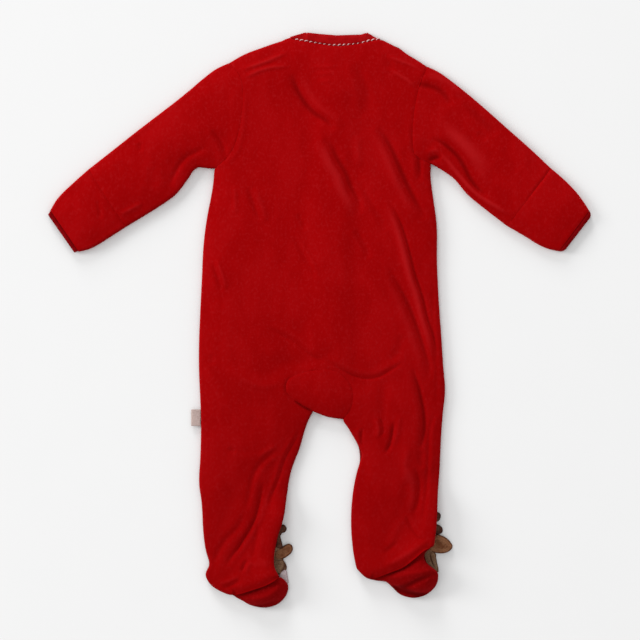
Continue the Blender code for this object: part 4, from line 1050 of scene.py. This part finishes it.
back = dress(
    panel("back_velour", "back_panel", velour_red, BACK_CREASES + LEG_CREASES + ARM_CREASES, cell=1.8,
          free_roll=HEM_ROLL, soft_hem=True, pulls=BACK_PULLS, corner=SEAT_CORNER),
    "back_panel",
)
gusset = dress(
    panel("gusset_velour", "gusset", velour_red, BACK_CREASES, cell=1.5, rounds=10, grain=0.6, tuck=0.05,
          corner=SEAT_CORNER),
    "gusset",
)
fronts, sleeves, cuffs, trims, feet, soles = ({} for _ in range(6))
for side in SIDES:
    node = f"front_{side}"
    front = panel(f"{node}_velour", node, velour_red, UNDER_CREASES, cell=2.6, upper=False, rounds=4)
    fronts[side] = dress(front, node)
    node = f"sleeve_{side}"
    sleeve = tube(f"{node}_velour", node, velour_red, ARM_CREASES, UNDER_CREASES, cell=1.7)
    sleeves[side] = dress(sleeve, node)
    node = f"cuff_{side}"
    cuff = tube(f"{node}_velour", node, velour_red, ARM_CREASES, cell=1.5)
    cuffs[side] = dress(cuff, node)
    node = f"cuff_trim_{side}"
    trim = tube(f"{node}_rib", node, rib_shaded, cell=0.8, bulge=0.7, grain=0.0, wall=1.0, tuck=0.3,
                pulls=TRIM_PULLS[side])
    trims[side] = dress(trim, node)
    node = f"foot_{side}"
    foot = panel(f"{node}_velour", node, velour_toe_shaded, cell=1.6, upper=False, rounds=4, corner=FOOT_CORNER,
                 covers=["back_panel", f"sole_{side}"])
    feet[side] = dress(foot, node)
    node = f"sole_{side}"
    sole = panel(f"{node}_velour", node, velour_toe_shaded, HEMS + SOLE_CREASES, cell=1.1, rounds=8, grain=0.6,
                 crease_fade=SOLE_FADE, corner=FOOT_CORNER, pulls=SOLE_PULLS[side])
    soles[side] = dress(sole, node)


# Neck band and piping ------------------------------------------------------------------------------
NECK_BACK = [
    (-29.8, 281.2), (-20, 279.9), (-5, 277.1), (14, 274.8), (28, 275.4), (42, 277.3), (51, 279.6),
    (58, 280.7),
]
NECK_FRONT_L = [(-29.8, 281.2), (-29.5, 268), (-21, 254), (-5, 243), (15, 238), (25, 240)]
NECK_FRONT_R = [(58, 280.7), (58, 268), (50, 254), (35, 243), (15, 238), (5, 240)]
BAND_TOP = [
    (-42, 279.5), (-32, 282.6), (-15, 287.6), (0, 286), (17, 284.6), (41, 285.4), (47.5, 287.4),
    (56, 282.3), (66, 279.5),
]
BAND_TUCK = 2.2  # its lower edge goes this far under the piping
BAND_STRETCH = (0.1, 1.6)  # least and most that its height is changed by
BAND_BIN = 0.5  # its top edge is looked for in slots this wide
BAND_LEAST = 0.5  # and counts as at least this much above the seam
BAND_GRID = 0.42
BAND_SOFTENING = 12
BAND_SOFTNESS = 0.5
BAND_SWELL = 0.2
RIB_PITCH = 1.7
RIB_HEIGHT = 0.07
RIBS_FROM = 270.0  # the ribs begin this far up the body, and are whole this much higher
RIBS_WHOLE = 6.0
RED_CORE = 0.9  # radius of the piping's red cord
CORD_SIDES = 10
WHITE_R = 0.5
WHITE_SIDES = 7
WHITE_OUT = 0.60  # distance of the white strand from the cord's middle
TWIST = 4.8  # length of one turn of the white strand
LINGER = 0.85  # how much longer it stays on the cord's outer side
CORD_STEP = 0.4
CORD_CURVE = 6
LINE_STEP = 1.0
FRONT_SKIP = 2  # the turn takes the place of this many points of each front's line
TURN_LOOK = 3  # the turn's way is the back line's over this many steps at its end
CORD_LEAST = 0.2  # points of its route closer than this are one
FRONT_TOP = 279.0  # the cord lies along the fronts below this, and turns up to the back above it
TURN_ANGLES = (150, 120, 90, 60, 30)


def with_top_edge(place, line):
    """The band's points moved up or down its back so that its top edge runs along BAND_TOP."""
    x, y = place[:, 0], place[:, 1]
    base = np.interp(x, line[:, 0], line[:, 1])
    bins = np.arange(x.min() - 1, x.max() + 1, BAND_BIN)
    slot = np.digitize(x, bins)
    used = np.unique(slot)
    tops = [y[slot == k].max() for k in used]
    rise = np.maximum(np.interp(x, bins[used - 1] + BAND_BIN / 2, tops) - base, BAND_LEAST)
    wanted = np.interp(x, *np.array(BAND_TOP).T) - base
    low_share = np.clip(1 - (y - base) / rise, 0, 1)
    moved = base + (y - base) * np.clip(wanted / rise, *BAND_STRETCH) - BAND_TUCK * low_share
    return np.where(y > base, moved, y)


def neck_band():
    """The band's solid, rounded and with fine ribs across it."""
    points, faces, _ = solid_of("neck_band")
    made = piece("neck_band_rib", points, faces, rib_red)
    remesh = made.modifiers.new("even", "REMESH")
    remesh.mode = "VOXEL"
    remesh.voxel_size = BAND_GRID * MM
    soften = made.modifiers.new("soften", "SMOOTH")
    soften.factor = BAND_SOFTNESS
    soften.iterations = BAND_SOFTENING
    apply_modifiers(made)
    mesh = made.data
    place = numbers_of(mesh.vertices, "co", 3) / MM
    normal = numbers_of(mesh.vertex_normals, "vector", 3)
    line = even(curve(NECK_BACK), LINE_STEP)
    place[:, 1] = with_top_edge(place, line)
    _, share = to_line(place[:, :2], line)
    ribs = np.cos(share * lengths(line)[-1] / RIB_PITCH * 2 * math.pi)
    on_back = np.clip((place[:, 1] - RIBS_FROM) / RIBS_WHOLE, 0, 1)
    place += (BAND_SWELL + RIB_HEIGHT * ribs * on_back)[:, None] * normal
    place[:, 2] = np.maximum(place[:, 2], 0)
    mesh.vertices.foreach_set("co", (place * MM).reshape(-1))
    mesh.shade_smooth()
    return made


def on_piping(points, above):
    """The cord's middle at each point of a line, under the upper or over the lower face of its solid."""
    line = even(curve(points), LINE_STEP)
    z = filled(line, face_height("neck_piping", line, above))
    return np.column_stack([line, z - RED_CORE if above else z + RED_CORE])


def turned(end, before):
    """The half turn that takes the cord from the fronts up to one end of the back."""
    out = (end - before)[:2] / np.linalg.norm((end - before)[:2])
    radius, middle = (end[2] - RED_CORE) / 2, (end[2] + RED_CORE) / 2
    turns = np.radians(TURN_ANGLES)
    plan = end[:2] + radius * np.sin(turns)[:, None] * out
    return np.column_stack([plan, middle + radius * np.cos(turns)])


def piping_route():
    """The cord's middle line: up one front, across the back and down the other front."""
    back_line = on_piping(NECK_BACK, True)
    left = on_piping(NECK_FRONT_L, False)[FRONT_SKIP:][::-1]
    right = on_piping(NECK_FRONT_R, False)[FRONT_SKIP:]
    left, right = left[left[:, 1] < FRONT_TOP], right[right[:, 1] < FRONT_TOP]
    left[:, 2] = RED_CORE
    start = turned(back_line[0], back_line[TURN_LOOK])
    finish = turned(back_line[-1], back_line[-1 - TURN_LOOK])[::-1]
    route = np.vstack([left, start, back_line, finish, right])
    keep = np.concatenate([[True], np.linalg.norm(np.diff(route, axis=0), axis=1) > CORD_LEAST])
    return even(curve(route[keep][::2], CORD_CURVE), CORD_STEP)


def cross_frame(path):
    """Two unit vectors across a path at each of its points, without twist."""
    way = np.gradient(path, axis=0)
    way /= np.linalg.norm(way, axis=1)[:, None]
    side = np.cross(way[0], (0.0, 0.0, 1.0))
    sides = []
    for w in way:
        side = side - w * (side @ w)
        side /= np.linalg.norm(side)
        sides.append(side)
    sides = np.array(sides)
    return sides, np.cross(way, sides)


def grid_faces(number):
    """Four-sided faces between the rows and columns of a grid of point numbers."""
    around = [number[:-1, :-1], number[:-1, 1:], number[1:, 1:], number[1:, :-1]]
    return np.stack(around, axis=2).reshape(-1, 4)


def round_tube(path, radius, sides):
    """Points and faces of a closed round tube along a path."""
    a, b = cross_frame(path)
    turn = 2 * math.pi * np.arange(sides) / sides
    ring = np.cos(turn)[None, :, None] * a[:, None] + np.sin(turn)[None, :, None] * b[:, None]
    points = (path[:, None] + radius * ring).reshape(-1, 3)
    number = np.arange(len(points)).reshape(len(path), sides)
    faces = grid_faces(np.column_stack([number, number[:, 0]])).tolist()
    return points, faces + [number[0, ::-1].tolist(), number[-1].tolist()]


def white_strand(route):
    """Path of the strand that winds round the cord and stays longer on its outer side."""
    across, outer = cross_frame(route)
    turn = lengths(route) / TWIST * 2 * math.pi
    turn = turn - LINGER * np.sin(turn)
    return route + WHITE_OUT * (np.cos(turn)[:, None] * outer + np.sin(turn)[:, None] * across)


def cord_piece(name, path, radius, sides, look):
    """A round cord along a path, kept off the floor."""
    path = np.column_stack([path[:, :2], np.maximum(path[:, 2], radius)])
    points, faces = round_tube(path, radius, sides)
    made = piece(name, points, faces, look)
    return made


band = dress(neck_band(), "neck_band")
route = piping_route()
piping_red = cord_piece("piping_red_core", route, RED_CORE, CORD_SIDES, piping_red_yarn)
strand = white_strand(route)
piping_white = cord_piece("piping_white_strand", strand, WHITE_R, WHITE_SIDES, piping_white_yarn)
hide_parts("neck_piping")


# Plush pieces --------------------------------------------------------------------------------------
PAD_MIDDLE = 1.6
PAD_UNDER = 0.2
PAD_CELL = 0.6
PAD_RINGS_IN = (0.25, 0.7)
PAD_EDGE = 1.1  # shade is painted within about this distance of an edge
# how dark that painted shade is
PAD_EDGE_SHADE = 0.9
PAD_STITCH_LIGHTER = 0.8
FLUFF = 0.12  # height, size and seed of the plush's unevenness, and how far from an edge it fades
FLUFF_SIZE = 1.0
FLUFF_SEED = 21
FLUFF_FADE = 1.2
MARK_FADE = 1.5
EAR_STITCHES = [(2.0, 0.12, 0.5), (3.7, 0.10, 0.5)]  # distance from the edge, depth and half width
HEAD_LEFT_MARKS = [
    ([(-36, -242), (-35.5, -247), (-40, -253)], -0.8, 1.7),
    ([(-47, -239.8), (-42, -240.6), (-37, -240)], -0.6, 0.7),
]
HEAD_RIGHT_MARKS = [([(109.5, -232), (111.3, -240), (114.6, -248)], -0.9, 0.9)]
# Node, look, slot, height of its top, rounding of its edge, lines of stitches, marks and outline
PADS = [
    ("head_left", face_plush, "plush_face", 2.9, 3.5, (), HEAD_LEFT_MARKS,
     [(-45, -226), (-40, -226.5), (-37.4, -238), (-36.2, -241), (-33.9, -244.8), (-33.2, -248.3),
      (-34.8, -251.7), (-38, -254.5), (-42.5, -254.5), (-46.8, -250), (-47.2, -240)]),
    ("ear_left", ear_plush, "plush_ear", 3.6, 3.5, EAR_STITCHES[:1], (),
     [(-42.9, -229.4), (-39.1, -228), (-34.8, -225.1), (-31.4, -223.9), (-28.4, -225.3),
      (-27.1, -228.5), (-28.3, -232.5), (-32.2, -236.3), (-36.5, -238.8), (-40.8, -240),
      (-44.2, -239.3), (-46, -234.5)]),
    ("antler_left", antler_plush, "plush_antler", 3.4, 2.4, (), (),
     [(-41.2, -206.3), (-37.9, -204.8), (-34.8, -205.8), (-33.4, -209.1), (-34.8, -212.2),
      (-37.9, -213.6), (-39.4, -215.6), (-39.1, -219.1), (-37.9, -223.4), (-37.4, -227.7),
      (-40.8, -229.4), (-44.2, -227.7), (-44.6, -222.5), (-43.9, -217.3), (-42.5, -213),
      (-42.2, -209.6)]),
    ("muzzle_left", muzzle_plush, "plush_muzzle", 3.2, 2.6, (), (),
     [(-40, -253.4), (-37.4, -250.9), (-34.8, -249.7), (-33.2, -251.7), (-32.6, -255.2),
      (-31.9, -259.5), (-31.7, -263.4), (-34.8, -265), (-39.1, -262.9), (-41.2, -257.7)]),
    ("head_right", face_plush, "plush_face", 2.9, 3.0, (), HEAD_RIGHT_MARKS,
     [(101.7, -235), (104.5, -229.5), (109.5, -227.5), (113.8, -231.6), (115.8, -234), (116.5, -239),
      (117.5, -244), (118.6, -249.3), (118.4, -252.5), (115.8, -252.2), (111.2, -247.6),
      (104.3, -242.4), (100.9, -239)]),
    ("ear_right", ear_plush, "plush_ear", 3.7, 4.2, EAR_STITCHES, (),
     [(114.6, -215.6), (118, -214.6), (122.3, -216), (127.5, -218.9), (130.9, -222.7), (132.8, -226.1),
      (131.8, -229.2), (128.9, -231.8), (124.1, -233.5), (118.9, -233.6), (114, -232.8),
      (109.5, -230.5), (107.5, -225), (110, -218.5)]),
    ("antler_right", antler_plush, "plush_antler", 3.4, 2.4, (), (),
     [(114.6, -192.8), (118, -192.3), (120.6, -194.4), (120.8, -197.7), (119.3, -200.7),
      (116.9, -202.6), (116.6, -204.3), (118.9, -205), (121.8, -207.2), (123, -210.3), (121.7, -213.4),
      (118.6, -214.6), (115.1, -214.1), (112.9, -208.9), (112.4, -200.3)]),
]


def pad(node, look, top, roll, stitches, marks, outline):
    """A stuffed piece, with lines stitched at distances from its edge."""
    p = np.array(outline, float)
    if (np.roll(p[:, 0], 1) * p[:, 1] - p[:, 0] * np.roll(p[:, 1], 1)).sum() < 0:
        p = p[::-1]
    ring = smooth_ring(p, PAD_CELL)
    plan, faces, distance, _ = plan_mesh(ring, PAD_CELL, PAD_RINGS_IN)
    edge = len(ring)
    full = rounded(distance, roll)
    high = PAD_MIDDLE + (top - PAD_MIDDLE) * full
    low = PAD_MIDDLE + (PAD_UNDER - PAD_MIDDLE) * full
    dents = creases(plan, marks)
    # The marks' dents, less painted shade near the edge
    relief_shade_and_marks = dents - PAD_EDGE_SHADE * np.exp(-((distance / PAD_EDGE) ** 2))
    for at, depth, half_width in stitches:
        line = np.exp(-(((distance - at) / half_width) ** 2))
        high = high - depth * line
        relief_shade_and_marks = relief_shade_and_marks + PAD_STITCH_LIGHTER * line
    high = high + FLUFF * soft_noise(plan, FLUFF_SIZE, FLUFF_SEED) * np.clip(distance / FLUFF_FADE, 0, 1)
    high = high + dents * np.clip(distance / MARK_FADE, 0, 1)
    high[:edge] = PAD_MIDDLE
    return shell(f"{node}_plush", plan, faces, np.maximum(high, low), low, edge, look, relief_shade_and_marks)


for node, look, slot, *shape in PADS:
    made = dress(pad(node, look, *shape), node)


# Side label ----------------------------------------------------------------------------------------
LABEL_Y = (-106.0, -89.5)
LABEL_SEAM_X = -119.6
LABEL_PROFILE = [
    (LABEL_SEAM_X, 2.75), (-123.0, 2.95), (-126.5, 2.85), (-128.2, 2.55), (-128.9, 2.0), (-128.2, 1.4),
    (-126.5, 1.12), (-123.0, 1.05), (LABEL_SEAM_X, 1.2),
]
LABEL_THICK = 0.35
LABEL_STEP = 0.45
LABEL_ROWS = 24
LABEL_SAG = 0.25  # how far the tape bends up and down along its fold
LABEL_SAG_TURNS = 2.2
LABEL_SAG_START = 0.6
LABEL_SWAY = 0.1
LABEL_REACH = 9.0  # it bends fully this far from the seam


def side_label():
    """A bare tape folded in half, its ends sewn into the side seam."""
    line = even(curve(LABEL_PROFILE), LABEL_STEP)
    way = np.gradient(line, axis=0)
    way /= np.linalg.norm(way, axis=1)[:, None]
    across = np.column_stack([-way[:, 1], way[:, 0]])
    loose = np.clip((LABEL_SEAM_X - line[:, 0]) / LABEL_REACH, 0, 1)
    points = []
    for side in (LABEL_THICK / 2, -LABEL_THICK / 2):
        for share in np.linspace(0, 1, LABEL_ROWS):
            bend = loose * LABEL_SAG * math.sin(share * math.pi * LABEL_SAG_TURNS + LABEL_SAG_START)
            y = LABEL_Y[0] + share * (LABEL_Y[1] - LABEL_Y[0]) + LABEL_SWAY * bend
            points.append(np.column_stack([line[:, 0] + side * across[:, 0], y,
                                           line[:, 1] + side * across[:, 1] + bend]))
    size = LABEL_ROWS * len(line)
    number = np.arange(size).reshape(LABEL_ROWS, -1)
    outer = grid_faces(number)
    rim = np.array([*number[0], *number[1:, -1], *number[-1, -2::-1], *number[-2:0:-1, 0]])
    onward = np.roll(rim, -1)
    walls = np.column_stack([onward, rim, rim + size, onward + size])
    faces = np.vstack([outer, size + outer[:, ::-1], walls])
    return piece("side_label_tape", np.vstack(points), faces, label_weave)


label = dress(side_label(), "side_label")


# Floor, light and camera ---------------------------------------------------------------------------
FRAME_WIDTH = 640.0  # the photo's frame, at 1 mm a pixel
LENS = 110.0
SENSOR = 36.0
PILE_TOP = 4.0  # the frame is that wide at this height
FLOOR_REACH = 3.0  # in metres, as is the next
FLOOR_Z = -0.0002
FLOOR_TONES = [(0.795, 0.795, 0.795), (0.805, 0.805, 0.805)]
LIGHTS = [("key", (-2.6, 9.2, 2.9), 3.2, 540), ("side", (-9.0, 2.4, 3.4), 3.2, 560)]  # m, m and W
WORLD_STRENGTH = 0.79


def placed(name, data, location=(0, 0, 0)):
    made = bpy.data.objects.new(name, data)
    made.location = location
    bpy.context.scene.collection.objects.link(made)
    return made


look = Look("pale_floor", roughness=1.0, specular=0.0)
look.colour(look.mix(look.noise((60, 60, 60), rough=0.5), *FLOOR_TONES))
mesh = bpy.data.meshes.new("floor")
corners = [(-1, -1), (1, -1), (1, 1), (-1, 1)]
mesh.from_pydata([(x * FLOOR_REACH, y * FLOOR_REACH, FLOOR_Z) for x, y in corners], [], [(0, 1, 2, 3)])
mesh.materials.append(look.material)
placed("floor", mesh)

for name, place, size, power in LIGHTS:
    lamp = bpy.data.lights.new(name, "AREA")
    lamp.shape = "SQUARE"
    lamp.size = size
    lamp.energy = power
    made = placed(name, lamp, place)
    made.rotation_euler = (-made.location).to_track_quat("-Z", "Y").to_euler()

world = bpy.data.worlds.new("studio")
world.use_nodes = True
world.node_tree.nodes["Background"].inputs["Color"].default_value = (1, 1, 1, 1)
world.node_tree.nodes["Background"].inputs["Strength"].default_value = WORLD_STRENGTH
bpy.context.scene.world = world

lens = bpy.data.cameras.new("camera")
lens.lens = LENS
lens.sensor_width = SENSOR
bpy.context.scene.camera = placed("camera", lens, (0, 0, (FRAME_WIDTH * LENS / SENSOR + PILE_TOP) * MM))
bpy.context.scene.view_settings.view_transform = "Standard"
